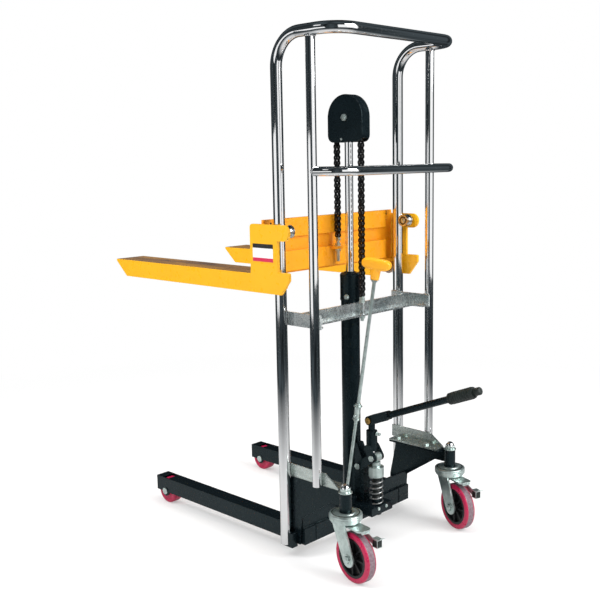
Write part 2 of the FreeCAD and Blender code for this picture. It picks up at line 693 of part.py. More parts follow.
def build_brackets():
    z0 = FLANGE_TOP_Z
    z1 = FLANGE_TOP_Z + BRACKET_HEIGHT
    seat_z = z0 + BRACKET_T
    rear_y = CASTER_Y - BRACKET_TAIL
    outline = [
        (-BEAM_END_OVERHANG, z0),
        (rear_y, z0),
        (rear_y, seat_z),
        (STAY_Y + BRACKET_SHOULDER, z1),
        (-BEAM_END_OVERHANG, z1),
    ]
    web = plate_yz(outline, WELD_X - BRACKET_T, WELD_X)
    bracket = cut_tubes(web.fuse(box(FLANGE_X0, WELD_X, FLANGE_Y0, rear_y, z0, seat_z)))
    fasteners = []
    for y in bracket_bolt_ys():
        bracket = bracket.cut(drill_down(BOLT_X, y, BOLT_R))
        nut_z = z0 - FLANGE_T - BOLT_HEAD_H
        shank = upright(BOLT_X, y, nut_z, seat_z, BOLT_R)
        head = hex_prism(V(BOLT_X, y, seat_z), Z, BOLT_HEAD_R, BOLT_HEAD_H)
        nut = hex_prism(V(BOLT_X, y, nut_z), Z, BOLT_HEAD_R, BOLT_HEAD_H)
        fasteners.append(shank.fuse([head, nut]).removeSplitter())
    bracket = bracket.removeSplitter()
    keep("tube_brackets", bracket, mirrored(bracket))
    fasteners.append(load_axle())
    keep("chassis_fasteners", *fasteners, *[mirrored(item) for item in fasteners])


def load_axle():
    y = ROLLER_AXLE_Y
    z = LOAD_ROLLER_R
    axle = across(y, z, LEG_X0 - LOAD_AXLE_CAP_H, LEG_X1 + LOAD_AXLE_CAP_H, LOAD_AXLE_R)
    outer_cap = across(y, z, LEG_X1, LEG_X1 + LOAD_AXLE_CAP_H, LOAD_AXLE_CAP_R)
    inner_cap = across(y, z, LEG_X0 - LOAD_AXLE_CAP_H, LEG_X0, LOAD_AXLE_CAP_R)
    return axle.fuse([outer_cap, inner_cap]).removeSplitter()


def build_load_rollers():
    half = LOAD_ROLLER_WIDTH / 2
    edge = LOAD_ROLLER_EDGE
    bore = LOAD_AXLE_R + RUN_FIT
    profile = [
        (-half, bore), (-half, LOAD_ROLLER_R - edge), (-half + edge, LOAD_ROLLER_R),
        (half - edge, LOAD_ROLLER_R), (half, LOAD_ROLLER_R - edge), (half, bore),
    ]
    keep_pair("load_roller", revolve_x(profile, V(LEG_X, ROLLER_AXLE_Y, LOAD_ROLLER_R)))


def caster_place(shape, name):
    """Carry a piece from the caster's own frame, stem at the origin, to its chassis corner."""
    shape.rotate(V(0, 0, 0), Z, CASTER_TURN_DEG[name])
    shape.translate(V(SIDES[name] * GUSSET_MID_X, CASTER_Y, 0))
    return shape


def build_casters():
    stems = []
    for name in SIDES:
        fork = caster_place(caster_fork(), name)
        axle = caster_place(caster_axle(), name)
        keep("caster_fork_" + name, fork, axle)
        keep("caster_hub_" + name, caster_place(caster_hub(), name))
        keep("caster_tyre_" + name, caster_place(caster_tyre(), name))
        keep("caster_brake_" + name, *[caster_place(solid, name) for solid in caster_brake()])
        stems += [caster_place(solid, name) for solid in caster_stem()]
    keep("caster_stems", *stems)


def caster_stem():
    """Kingpin with the upper race, and the washer and domed nut that hold it in its socket."""
    seat_z = FLANGE_TOP_Z + WASHER_H
    dome_z = seat_z + NUT_H
    head_z1 = CROWN_Z0 - SWIVEL_GAP
    head_z0 = head_z1 - KINGPIN_HEAD_H
    shank = upright(0, 0, head_z0, dome_z, STEM_R)
    head = upright(0, 0, head_z0, head_z1, KINGPIN_HEAD_R)
    race = Part.makeCone(RACE_R, RACE_R - RACE_TAPER, RACE_H, V(0, 0, RACE_Z0))
    washer = upright(0, 0, FLANGE_TOP_Z, seat_z, WASHER_R).cut(drill_down(0, 0, STEM_R))
    nut = hex_prism(V(0, 0, seat_z), Z, NUT_CORNER_R, NUT_H)
    dome = Part.makeSphere(NUT_R, V(0, 0, dome_z), Z, 0, 90, 360)
    cap = nut.fuse(dome).cut(upright(0, 0, 0, dome_z, STEM_R))
    return [shank.fuse([head, race]).removeSplitter(), washer, cap.removeSplitter()]


def caster_fork():
    crown = upright(0, 0, CROWN_Z0, CROWN_Z1, CROWN_R)
    race = upright(0, 0, CROWN_Z1, CROWN_Z1 + RACE_H, RACE_R)
    race = race.cut(drill_down(0, 0, RACE_R - RACE_WIDTH))
    bridge = box(-FORK_OUT_X, FORK_OUT_X, -FORK_LEG_TOP_R, FORK_LEG_TOP_R, CROWN_Z0, CROWN_Z1)
    solids = [race, bridge]
    for side in SIDES.values():
        x0, x1 = slab(side, FORK_GAP_X, FORK_LEG_T)
        leg = strap_yz(0, CROWN_Z0, FORK_LEG_TOP_R, CASTER_TRAIL, WHEEL_Z, FORK_FOOT_R, x0, x1)
        above = box(x0, x1, -FORK_LEG_TOP_R, CASTER_Y, CROWN_Z1, RACE_Z1 + FORK_LEG_TOP_R)
        solids.append(leg.cut(above))
    fork = crown.fuse(solids).cut(drill_across(CASTER_TRAIL, WHEEL_Z, CASTER_AXLE_R))
    fork = fork.cut(drill_across(BRAKE_PIN_Y, BRAKE_PIN_Z, BRAKE_PIN_R + RUN_FIT))
    return fork.cut(drill_down(0, 0, STEM_R + RUN_FIT)).removeSplitter()


def caster_axle():
    y = CASTER_TRAIL
    axle = across(y, WHEEL_Z, -FORK_OUT_X, FORK_OUT_X, CASTER_AXLE_R)
    collars = []
    for side in SIDES.values():
        seat = V(side * FORK_OUT_X, y, WHEEL_Z)
        collars.append(hex_prism(seat, X * side, AXLE_HEAD_R, AXLE_HEAD_H))
        x0, x1 = sorted((side * (HUB_BOSS_X + SPACER_GAP), side * FORK_GAP_X))
        collars.append(across(y, WHEEL_Z, x0, x1, AXLE_HEAD_R))
    return axle.fuse(collars).removeSplitter()


def caster_tyre():
    half = WHEEL_WIDTH / 2
    inner = WHEEL_R - TYRE_THICKNESS
    third = TYRE_EDGE / 3
    profile = [
        (-half, inner), (-half, WHEEL_R - TYRE_EDGE), (-half + third, WHEEL_R - third),
        (-half + TYRE_EDGE, WHEEL_R), (half - TYRE_EDGE, WHEEL_R),
        (half - third, WHEEL_R - third), (half, WHEEL_R - TYRE_EDGE), (half, inner),
    ]
    return revolve_x(profile, V(0, CASTER_TRAIL, WHEEL_Z))


def caster_hub():
    half = HUB_HALF_X
    rim = WHEEL_R - TYRE_THICKNESS
    rim_in = rim - HUB_RIM
    bore = CASTER_AXLE_R + RUN_FIT
    boss = CASTER_AXLE_R + HUB_BOSS
    web = HUB_WEB / 2
    profile = [
        (-half, rim), (-half, rim_in), (-web, rim_in), (-web, boss),
        (-HUB_BOSS_X, boss), (-HUB_BOSS_X, bore), (HUB_BOSS_X, bore), (HUB_BOSS_X, boss),
        (web, boss), (web, rim_in), (half, rim_in), (half, rim),
    ]
    centre = V(0, CASTER_TRAIL, WHEEL_Z)
    rib_x = half - HUB_RIB_INSET
    rib_y = HUB_RIB_T / 2
    rib_in = math.sqrt(boss ** 2 - rib_y ** 2)
    ribs = []
    for i in range(HUB_RIBS):
        rib = box(-rib_x, rib_x, CASTER_TRAIL - rib_y, CASTER_TRAIL + rib_y,
                  WHEEL_Z + rib_in, WHEEL_Z + rim_in)
        rib.rotate(centre, X, 360 / HUB_RIBS * i)
        ribs.append(rib)
    return revolve_x(profile, centre).fuse(ribs).removeSplitter()


def caster_brake():
    """Brake tongue over the tyre, hung on a pin, and the rubber pad on its pedal arm."""
    top_z = CROWN_Z0 - BRAKE_DROP
    low_z = top_z - BRAKE_T
    corner_x = BRAKE_HALF_W - BRAKE_CORNER
    corner_y = BRAKE_REAR_Y - BRAKE_CORNER
    outline = [
        V(-BRAKE_HALF_W, BRAKE_PIN_Y, low_z), V(BRAKE_HALF_W, BRAKE_PIN_Y, low_z),
        V(BRAKE_HALF_W, corner_y, low_z), V(corner_x, BRAKE_REAR_Y, low_z),
        V(-corner_x, BRAKE_REAR_Y, low_z), V(-BRAKE_HALF_W, corner_y, low_z),
    ]
    tongue = Part.Face(Part.makePolygon(outline + outline[:1])).extrude(Z * BRAKE_T)
    lip = box(-corner_x, corner_x, BRAKE_REAR_Y - BRAKE_T, BRAKE_REAR_Y, top_z - BRAKE_LIP, top_z)
    pin = across(BRAKE_PIN_Y, BRAKE_PIN_Z, -FORK_OUT_X, FORK_OUT_X, BRAKE_PIN_R)
    arm_x = BRAKE_ARM_T - BRAKE_HALF_W
    arm = strap_yz(BRAKE_PIN_Y, BRAKE_PIN_Z, BRAKE_EYE_R, PAD_Y, PAD_Z, BRAKE_FOOT_R, -BRAKE_HALF_W, arm_x)
    pad_x = -BRAKE_HALF_W - PAD_OUT
    pad_front_y = PAD_Y - PAD_HALF_Y
    pad_rear_y = PAD_Y + PAD_HALF_Y
    pad_top_z = PAD_Z + PAD_HALF_Z
    tip_y = pad_rear_y + PEDAL_REACH
    tip_z = pad_top_z + PEDAL_RISE
    pedal = plate_yz([
        (pad_front_y, pad_top_z), (pad_rear_y, pad_top_z), (tip_y, tip_z),
        (tip_y, tip_z + PEDAL_T), (pad_rear_y, pad_top_z + PEDAL_T), (pad_front_y, pad_top_z + PEDAL_T),
    ], pad_x, arm_x)
    brace = box(-BRAKE_HALF_W, arm_x, PAD_Y - BRAKE_FOOT_R, PAD_Y + BRAKE_FOOT_R, PAD_Z, pad_top_z)
    metal = tongue.fuse([lip, pin, arm, brace, pedal]).removeSplitter()
    pad = box(pad_x, arm_x, pad_front_y, pad_rear_y, PAD_Z - PAD_HALF_Z, pad_top_z)
    return [metal, pad.cut(metal)]


def build_cylinder():
    barrel = upright(0, CYL_Y, LEG_TOP_Z, CYL_TOP_Z, CYL_R)
    barrel = barrel.cut(upright(0, CYL_Y, LEG_TOP_Z + CYL_FLOOR, CYL_TOP_Z, CYL_BORE_R))
    keep("lift_cylinder", barrel)
    low_z = BEAM_TOP_Z + GLAND_LOW_GAP
    bevel_z = GLAND_TOP_Z - GLAND_BEVEL
    collar = upright(0, CYL_Y, low_z, bevel_z, GLAND_R)
    cap = Part.makeCone(GLAND_R, GLAND_R - GLAND_BEVEL, GLAND_BEVEL, V(0, CYL_Y, bevel_z))
    gland = collar.fuse(cap).cut(upright(0, CYL_Y, low_z, CYL_TOP_Z, CYL_R))
    gland = gland.cut(drill_down(0, CYL_Y, ROD_R + RUN_FIT))
    keep("cylinder_gland", gland.removeSplitter())
    piston = upright(0, CYL_Y, PISTON_Z, PISTON_Z + PISTON_H, CYL_BORE_R - RUN_FIT)
    ram = upright(0, CYL_Y, PISTON_Z, HEAD_BOTTOM_Z, ROD_R).fuse(piston)
    keep("ram_rod", ram.removeSplitter())


def build_head():
    build_yoke()
    build_cover()
    axle = across(CYL_Y, SPROCKET_Z, -COVER_HALF_W, COVER_HALF_W, HEAD_AXLE_R)
    for side in SIDES.values():
        seat = V(side * COVER_HALF_W, CYL_Y, SPROCKET_Z)
        axle = axle.fuse(hex_prism(seat, X * side, HEAD_AXLE_NUT_R, HEAD_AXLE_NUT_H))
    keep("sprocket_axle", axle.removeSplitter())
    centre = V(0, CYL_Y, SPROCKET_Z)
    half = SPROCKET_T / 2
    core = SPROCKET_R - CHAIN_ROLLER_R - TOUCH_GAP
    bore = HEAD_AXLE_R + RUN_FIT
    sprocket = revolve_x([(-half, bore), (-half, core), (half, core), (half, bore)], centre)
    for i in range(SPROCKET_HOLES):
        hole = drill_across(CYL_Y, SPROCKET_Z + SPROCKET_HOLE_RING_R, SPROCKET_HOLE_R)
        hole.rotate(centre, X, 360 / SPROCKET_HOLES * i)
        sprocket = sprocket.cut(hole)
    keep("chain_sprocket", sprocket)


def build_yoke():
    """Block on the ram's end with a cheek on each side of the sprocket."""
    block = box(-YOKE_X1, YOKE_X1, CYL_Y - YOKE_HALF_Y, CYL_Y + YOKE_HALF_Y,
                HEAD_BOTTOM_Z, HEAD_BOTTOM_Z + YOKE_BASE_H)
    cheeks = []
    for side in SIDES.values():
        x0, x1 = slab(side, YOKE_X0, YOKE_T)
        cheeks.append(strap_yz(CYL_Y, HEAD_BOTTOM_Z + YOKE_CHEEK_R, YOKE_CHEEK_R,
                               CYL_Y, SPROCKET_Z, YOKE_CHEEK_R, x0, x1))
    yoke = block.fuse(cheeks).cut(drill_across(CYL_Y, SPROCKET_Z, HEAD_AXLE_R))
    keep("chain_yoke", yoke.removeSplitter())


def build_cover():
    """Arched hood over the sprocket, open below for the chain and the ram."""
    hood = arch_plate(COVER_R, HEAD_BOTTOM_Z, COVER_CORNER_R, COVER_HALF_W)
    room_r = COVER_R - COVER_T
    room = arch_plate(room_r, HEAD_BOTTOM_Z, 0.0, COVER_HALF_W - COVER_T)
    cover = hood.cut(room)
    for side in SIDES.values():
        x0, x1 = sorted((side * YOKE_X1, side * COVER_HALF_W))
        cover = cover.fuse(across(CYL_Y, SPROCKET_Z, x0, x1, COVER_BOSS_R))
    keep("chain_cover", cover.cut(drill_across(CYL_Y, SPROCKET_Z, HEAD_AXLE_R)).removeSplitter())


def arch_plate(radius, bottom_z, corner, half_width):
    """Slab with a half-round top about the sprocket and straight sides."""
    top_z = SPROCKET_Z + radius
    outline = [
        (CYL_Y - radius, bottom_z, corner),
        (CYL_Y + radius, bottom_z, corner),
        (CYL_Y + radius, top_z, radius),
        (CYL_Y - radius, top_z, radius),
    ]
    return plate_yz(outline, -half_width, half_width)


def link_flank(points):
    """Edges along one side of a run of links: a waist at each link, a round at each pin."""
    half = CHAIN_PLATE_H / 2
    waist = CHAIN_WAIST_H / 2
    reach = math.sqrt(half ** 2 - waist ** 2)
    edges = []
    last = None
    for i in range(len(points) - 1):
        run = (points[i + 1] - points[i]).normalize()
        out = X.cross(run)
        leave = points[i] + run * reach + out * waist
        arrive = points[i + 1] - run * reach + out * waist
        if last:
            way = (points[i + 1] - points[i - 1]).normalize()
            edges.append(Part.Arc(last, points[i] + X.cross(way) * half, leave).toShape())
        edges.append(Part.makeLine(leave, arrive))
        last = arrive
    return edges


def link_cap(points, start_edge, end_edge):
    """Round end of a run of links, past its last pin."""
    way = (points[-1] - points[-2]).normalize()
    start = start_edge.Vertexes[-1].Point
    end = end_edge.Vertexes[0].Point
    return Part.Arc(start, points[-1] + way * (CHAIN_PLATE_H / 2), end).toShape()


def link_row(points):
    """A run of roller chain: two scalloped plates and a roller on every pin."""
    back = points[::-1]
    there = link_flank(points)
    again = link_flank(back)
    edges = there + [link_cap(points, there[-1], again[0])]
    edges += again + [link_cap(back, again[-1], there[0])]
    plate = Part.Face(Part.Wire(edges)).extrude(X * CHAIN_PLATE_T)
    half = CHAIN_INNER_W / 2
    plate.translate(X * half)
    rollers = [across(point.y, point.z, -half, half, CHAIN_ROLLER_R) for point in points]
    return [plate, mirrored(plate)] + rollers


def build_chain():
    eye = STUD_EYE_R + CHAIN_ROLLER_R
    keep("chain_front", *link_row(strand_points(CHAIN_FRONT_Y, FRONT_STUD_TOP_Z + eye)))
    keep("chain_rear", *link_row(strand_points(CHAIN_REAR_Y, REAR_STUD_TOP_Z + eye)))
    wrap = []
    half_turn = SPROCKET_TEETH // 2
    for i in range(1, half_turn):
        turn = math.pi * i / half_turn
        wrap.append(V(0, CYL_Y - SPROCKET_R * math.cos(turn), SPROCKET_Z + SPROCKET_R * math.sin(turn)))
    keep("chain_wrap", *link_row(wrap))


def strand_points(y, low_z):
    """Pins of a straight strand between its stud and the sprocket's height."""
    count = int((SPROCKET_Z - low_z) / CHAIN_PITCH)
    step = (SPROCKET_Z - low_z) / count
    return [V(0, y, low_z + step * i) for i in range(count + 1)]


def side_plate():
    """Side of the carriage, with an ear for the upper roller and a stepped heel below."""
    ear_low_z = PLATE_TOP_Z - 2 * EAR_R
    outline = [
        (PLATE_FRONT_Y, FORK_BOTTOM_Z),
        (HEEL_TOE_Y, FORK_BOTTOM_Z),
        (HEEL_Y, HEEL_TOP_Z - HEEL_DEPTH, HEEL_CORNER_R),
        (HEEL_Y, HEEL_TOP_Z, HEEL_CORNER_R),
        (PLATE_BACK_Y, HEEL_TOP_Z),
        (PLATE_BACK_Y, ear_low_z),
        (EAR_Y + EAR_R, ear_low_z, EAR_R),
        (EAR_Y + EAR_R, PLATE_TOP_Z, EAR_R),
        (PLATE_FRONT_Y, PLATE_TOP_Z, PLATE_CORNER_R),
    ]
    return plate_yz(outline, SIDE_X0, SIDE_X1)


def guide_places():
    return {"upper": (GUIDE_CENTRE, UPPER_GUIDE_Z), "lower": (-GUIDE_CENTRE, LOWER_GUIDE_Z)}


def build_carriage():
    plate = side_plate()
    axles = []
    for y, z in guide_places().values():
        shank = across(y, z, MAST_HALF - GUIDE_HALF_W, SIDE_X0 + GUIDE_AXLE_SEAT, GUIDE_AXLE_R)
        spacer = across(y, z, MAST_HALF + GUIDE_HALF_W + TOUCH_GAP, SIDE_X0, GUIDE_SPACER_R)
        plate = plate.cut(shank)
        axles.append(shank.fuse(spacer).removeSplitter())
    keep_pair("carriage_plate", plate)
    keep("guide_roller_axles", *axles, *[mirrored(axle) for axle in axles])
    for name, (y, z) in guide_places().items():
        keep_pair("guide_roller_" + name, guide_roller(y, z))
    build_back_plate()
    keep_pair("fork", fork())


def guide_roller(y, z):
    """Grooved roller whose groove follows the front tube."""
    rim = GUIDE_CENTRE - math.sqrt(GUIDE_GROOVE_R ** 2 - GUIDE_HALF_W ** 2)
    bore = GUIDE_AXLE_R + RUN_FIT
    centre = V(MAST_HALF, y, z)
    inner_low = centre + V(-GUIDE_HALF_W, 0, bore)
    inner_rim = centre + V(-GUIDE_HALF_W, 0, rim)
    groove = centre + V(0, 0, GUIDE_CORE_R)
    outer_rim = centre + V(GUIDE_HALF_W, 0, rim)
    outer_low = centre + V(GUIDE_HALF_W, 0, bore)
    edges = [
        Part.makeLine(inner_low, inner_rim),
        Part.Arc(inner_rim, groove, outer_rim).toShape(),
        Part.makeLine(outer_rim, outer_low),
        Part.makeLine(outer_low, inner_low),
    ]
    return Part.Face(Part.Wire(edges)).revolve(centre, X, 360)


def build_back_plate():
    """Plate between the side plates, stiffened by two bands, with a shelf for the chain."""
    y1 = BACK_PLATE_Y + BACK_PLATE_T
    band_x = TUBE_INNER_X - BAND_TUBE_GAP
    shelf_y1 = CHAIN_FRONT_Y + STUD_NUT_R + SHELF_EDGE
    plate = box(-SIDE_X0, SIDE_X0, BACK_PLATE_Y, y1, FORK_INNER_TOP_Z, BACK_PLATE_TOP_Z)
    upper = box(-band_x, band_x, y1, BAND_REAR_Y, BACK_PLATE_TOP_Z - BAND_H, BACK_PLATE_TOP_Z)
    lower = box(-band_x, band_x, y1, BAND_REAR_Y, FORK_TOP_Z, SHELF_TOP_Z)
    shelf = box(-SHELF_HALF, SHELF_HALF, BAND_REAR_Y, shelf_y1, SHELF_Z, SHELF_TOP_Z)
    plate = plate.fuse([upper, lower, shelf]).cut(drill_down(0, CHAIN_FRONT_Y, STUD_R))
    keep("carriage_back", plate.removeSplitter())
    keep("front_chain_stud", *stud(CHAIN_FRONT_Y, FRONT_STUD_TOP_Z, SHELF_TOP_Z, SHELF_Z))


def fork():
    """Inverted channel with a bevelled, closed tip, flush with the side plate's outer face."""
    outline = [
        (FORK_TIP_Y, FORK_TOP_Z),
        (BACK_PLATE_Y, FORK_TOP_Z),
        (BACK_PLATE_Y, FORK_BOTTOM_Z),
        (FORK_TIP_Y + FORK_BEVEL, FORK_BOTTOM_Z),
        (FORK_TIP_Y, FORK_INNER_TOP_Z),
    ]
    room = [
        (FORK_TIP_Y + FORK_LIP, FORK_INNER_TOP_Z),
        (BACK_PLATE_Y, FORK_INNER_TOP_Z),
        (BACK_PLATE_Y, FORK_BOTTOM_Z),
        (FORK_TIP_Y + FORK_BEVEL + FORK_LIP, FORK_BOTTOM_Z),
    ]
    bar = plate_yz(outline, FORK_X0, FORK_X1)
    bar = bar.cut(plate_yz(room, FORK_X0 + FORK_WALL, FORK_X1 - FORK_WALL))
    return bar.cut(box(SIDE_X0, SIDE_X1, PLATE_FRONT_Y, BACK_PLATE_Y, FORK_BOTTOM_Z, FORK_TOP_Z))


def build_pump():
    build_pump_block()
    build_plunger()
    build_rocker()
    build_lever()


def build_pump_block():
    """Base on the cross member, plunger well, column for the rocker and the release valve."""
    base = box(-PUMP_HALF_W, PUMP_HALF_W, CYL_Y, PUMP_REAR_Y, LEG_TOP_Z, PUMP_TOP_Z)
    well = upright(0, PLUNGER_Y, WELL_Z, PUMP_TOP_Z, WELL_R)
    sleeve_top_z = PUMP_TOP_Z + SLEEVE_H
    sleeve = upright(0, PLUNGER_Y, PUMP_TOP_Z, sleeve_top_z, SLEEVE_R)
    column = plate_yz([
        (CYL_Y, LEG_TOP_Z),
        (COLUMN_REAR_Y, LEG_TOP_Z),
        (COLUMN_REAR_Y, PIVOT_Z + ROCKER_EYE_R),
        (CYL_Y + CYL_R + COLUMN_TOP_LAP, COLUMN_TOP_Z),
        (CYL_Y, COLUMN_TOP_Z),
    ], -COLUMN_HALF_W, COLUMN_HALF_W)
    valve = box(RELEASE_X - VALVE_HALF, RELEASE_X + VALVE_HALF, RELEASE_FOOT_Y - VALVE_HALF,
                CROSS_Y1 + VALVE_HALF, LEG_TOP_Z, RELEASE_FOOT_Z)
    block = base.fuse([well, sleeve, column, valve]).cut(drill_down(0, CYL_Y, CYL_R))
    block = block.cut(drill_across(PIVOT_Y, PIVOT_Z, PIVOT_R + RUN_FIT))
    bore = upright(0, PLUNGER_Y, WELL_Z + WELL_FLOOR, sleeve_top_z, PLUNGER_R + RUN_FIT)
    valve_reach = RELEASE_DIR * VALVE_DEPTH
    valve_bore = rod(RELEASE_FOOT - valve_reach, RELEASE_FOOT + valve_reach, RELEASE_ROD_R + RUN_FIT)
    keep("pump_block", block.cut(bore).cut(valve_bore).removeSplitter())


def build_plunger():
    stroke = math.radians(PUMP_STROKE_DEG) * PUMP_RATIO
    low_z = WELL_Z + WELL_FLOOR + PLUNGER_FLOOR_GAP + stroke
    cap_top_z = SPRING_SEAT_Z + PLUNGER_CAP_H
    stem = upright(0, PLUNGER_Y, low_z, SPRING_SEAT_Z, PLUNGER_R)
    cap = upright(0, PLUNGER_Y, SPRING_SEAT_Z, cap_top_z, PLUNGER_CAP_R)
    tip = upright(0, PLUNGER_Y, cap_top_z, PLUNGER_TIP_Z, PLUNGER_TIP_R)
    keep("pump_plunger", stem.fuse([cap, tip]).removeSplitter())
    keep("pump_spring", pump_spring())


def build_rocker():
    """Forked rocker that carries the lever's socket, with its roller over the plunger."""
    solids = []
    for side in SIDES.values():
        x0, x1 = slab(side, ROCKER_X0, ROCKER_T)
        arm = strap_yz(PIVOT_Y, PIVOT_Z, ROCKER_EYE_R, PLUNGER_Y, ROCKER_ROLLER_Z, ROCKER_EYE_R, x0, x1)
        riser = strap_yz(PLUNGER_Y, ROCKER_ROLLER_Z, ROCKER_EYE_R,
                         SOCKET_TUBE_Y, SOCKET_TUBE_Z + ROCKER_TOP_RISE, ROCKER_TOP_R, x0, x1)
        solids.append(arm.fuse(riser))
    tube_top = SOCKET_TUBE_Z + SOCKET_TUBE_H
    solids.append(box(-ROCKER_X1, ROCKER_X1, SOCKET_TUBE_Y - ROCKER_TOP_R, SOCKET_TUBE_Y + ROCKER_TOP_R,
                      SOCKET_TUBE_Z, SOCKET_TUBE_Z + ROCKER_FLOOR_T))
    post = upright(0, SOCKET_TUBE_Y, tube_top, KNUCKLE_Z, POST_R)
    solids.append(post.common(box(-KNUCKLE_HALF_W, KNUCKLE_HALF_W, SOCKET_TUBE_Y - POST_R,
                                  SOCKET_TUBE_Y + POST_R, tube_top, KNUCKLE_Z)))
    solids.append(across(SOCKET_TUBE_Y, KNUCKLE_Z, -KNUCKLE_HALF_W, KNUCKLE_HALF_W, KNUCKLE_R))
    rocker = upright(0, SOCKET_TUBE_Y, SOCKET_TUBE_Z, tube_top, SOCKET_TUBE_R).fuse(solids)
    rocker = rocker.cut(drill_across(SOCKET_TUBE_Y, KNUCKLE_Z, PIVOT_R + RUN_FIT))
    bolts = []
    for y, z in ROCKER_PINS:
        rocker = rocker.cut(drill_across(y, z, PIVOT_R))
        bolt = across(y, z, -ROCKER_X1, ROCKER_X1, PIVOT_R)
        for side in SIDES.values():
            bolt = bolt.fuse(hex_prism(V(side * ROCKER_X1, y, z), X * side, PIN_HEAD_R, PIN_HEAD_H))
        bolts.append(bolt.removeSplitter())
    keep("pump_rocker", rocker.removeSplitter())
    keep("rocker_bolts", *bolts)
    half = COLUMN_HALF_W - ROCKER_ROLLER_SIDE
    bore = PIVOT_R + RUN_FIT
    profile = [(-half, bore), (-half, ROCKER_ROLLER_R), (half, ROCKER_ROLLER_R), (half, bore)]
    keep("rocker_roller", revolve_x(profile, V(0, PLUNGER_Y, ROCKER_ROLLER_Z)))


def build_lever():
    """Pump lever pinned to the rocker's knuckle, so that it can be folded up."""
    start = KNUCKLE + LEVER_DIR * LEVER_START
    knob_start = KNUCKLE + LEVER_DIR * (LEVER_LENGTH - GRIP_KNOB_H)
    tube_end = knob_start - LEVER_DIR * GRIP_END
    grip_start = KNUCKLE + LEVER_DIR * (LEVER_LENGTH - GRIP_LENGTH)
    cheek_x = KNUCKLE_HALF_W + TOUCH_GAP
    solids = [rod(start, tube_end, LEVER_R)]
    for side in SIDES.values():
        x0, x1 = slab(side, cheek_x, CLEVIS_T)
        solids.append(strap_yz(KNUCKLE.y, KNUCKLE.z, KNUCKLE_R, start.y, start.z, CLEVIS_END_R, x0, x1))
    lever = rod(KNUCKLE + LEVER_DIR * (KNUCKLE_R + CLEVIS_CLEAR), start, KNUCKLE_R).fuse(solids)
    keep("pump_lever", lever.cut(drill_across(KNUCKLE.y, KNUCKLE.z, PIVOT_R)).removeSplitter())
    pin_x = cheek_x + CLEVIS_T
    pin = across(KNUCKLE.y, KNUCKLE.z, -pin_x, pin_x, PIVOT_R)
    for side in SIDES.values():
        x0, x1 = slab(side, pin_x, PIN_HEAD_H)
        pin = pin.fuse(across(KNUCKLE.y, KNUCKLE.z, x0, x1, PIN_HEAD_R))
    keep("knuckle_pin", pin.removeSplitter())
    knob = rod(knob_start, KNUCKLE + LEVER_DIR * LEVER_LENGTH, GRIP_KNOB_R)
    grip = rod(grip_start, knob_start, GRIP_R).fuse(knob)
    keep("lever_grip", grip.cut(rod(grip_start, tube_end, LEVER_R)).removeSplitter())


def arc_through(start, tangent, end):
    """Circular edge that leaves a point along a tangent and reaches another."""
    chord = end - start
    turn = tangent.getAngle(chord)
    side = (tangent - V(chord).normalize() * math.cos(turn)).normalize()
    middle = (start + end) * 0.5 + side * (chord.Length / 2 * math.tan(turn / 2))
    return Part.Arc(start, middle, end).toShape()


def biarc(p0, t0, p1, t1):
    """Two arcs that join two points with a given direction at each."""
    span = p1 - p0
    a = 2 - 2 * t0.dot(t1)
    b = 2 * span.dot(t0 + t1)
    reach = (-b + math.sqrt(b * b + 4 * a * span.dot(span))) / (2 * a)
    joint = (p0 + t0 * reach + p1 - t1 * reach) * 0.5
    return [arc_through(p0, t0, joint), arc_through(p1, t1 * -1, joint)]


def spring_rise():
    """Height of the wire's centre line over all its turns."""
    return SPRING_LENGTH - SPRING_WIRE - 2 * TOUCH_GAP


def spring_point(turns):
    angle = 2 * math.pi * turns
    height = PUMP_TOP_Z + TOUCH_GAP + SPRING_WIRE / 2 + spring_rise() * turns / SPRING_TURNS
    return V(SPRING_R * math.cos(angle), PLUNGER_Y + SPRING_R * math.sin(angle), height)


def spring_tangent(turns):
    angle = 2 * math.pi * turns
    round_way = 2 * math.pi * SPRING_R
    rise = spring_rise() / SPRING_TURNS
    return V(-round_way * math.sin(angle), round_way * math.cos(angle), rise).normalize()


def pump_spring():
    """Return spring as one unbroken helical wire, in biarcs of a quarter turn."""
    steps = round(4 * SPRING_TURNS)
    stations = [SPRING_TURNS * i / steps for i in range(steps + 1)]
    edges = []
    for t0, t1 in zip(stations, stations[1:]):
        edges += biarc(spring_point(t0), spring_tangent(t0), spring_point(t1), spring_tangent(t1))
    section = Part.Wire(Part.makeCircle(SPRING_WIRE / 2, spring_point(0), spring_tangent(0)))
    report_spring_gap()
    return Part.Wire(edges).makePipeShell([section], True, False)


def report_spring_gap():
    """Print the least distance between neighbouring turns of the wire."""
    count = 400
    samples = [spring_point(SPRING_TURNS * i / count) for i in range(count + 1)]
    half_turn = int(count / SPRING_TURNS / 2)
    least = min(
        (samples[i] - samples[j]).Length
        for i in range(len(samples))
        for j in range(i + half_turn, len(samples)))
    print("least gap between spring turns %.2f mm" % (least - SPRING_WIRE))


def build_release():
    """Jointed rod from the release valve up to a T-handle."""
    joint = RELEASE_FOOT + RELEASE_DIR * ((RELEASE_JOINT_Z - RELEASE_FOOT_Z) / RELEASE_DIR.z)
    foot = RELEASE_FOOT - RELEASE_DIR * (VALVE_DEPTH - VALVE_FOOT_GAP)
    clevis_foot = joint - RELEASE_DIR * JOINT_LOW_H
    collar_top = joint + RELEASE_DIR * JOINT_TOP_H
    rod_top = RELEASE_HEAD + RELEASE_DIR * T_NECK_BORE
    lower = rod(foot, clevis_foot, RELEASE_ROD_R).fuse(rod(clevis_foot, joint, JOINT_LOW_R))
    upper = rod(joint, collar_top, JOINT_TOP_R).fuse(rod(collar_top, rod_top, RELEASE_ROD_R))
    keep("release_rods", lower.removeSplitter(), upper.removeSplitter())
    handle = t_handle().cut(rod(RELEASE_HEAD, rod_top, RELEASE_ROD_R))
    keep("release_handle", handle.removeSplitter())


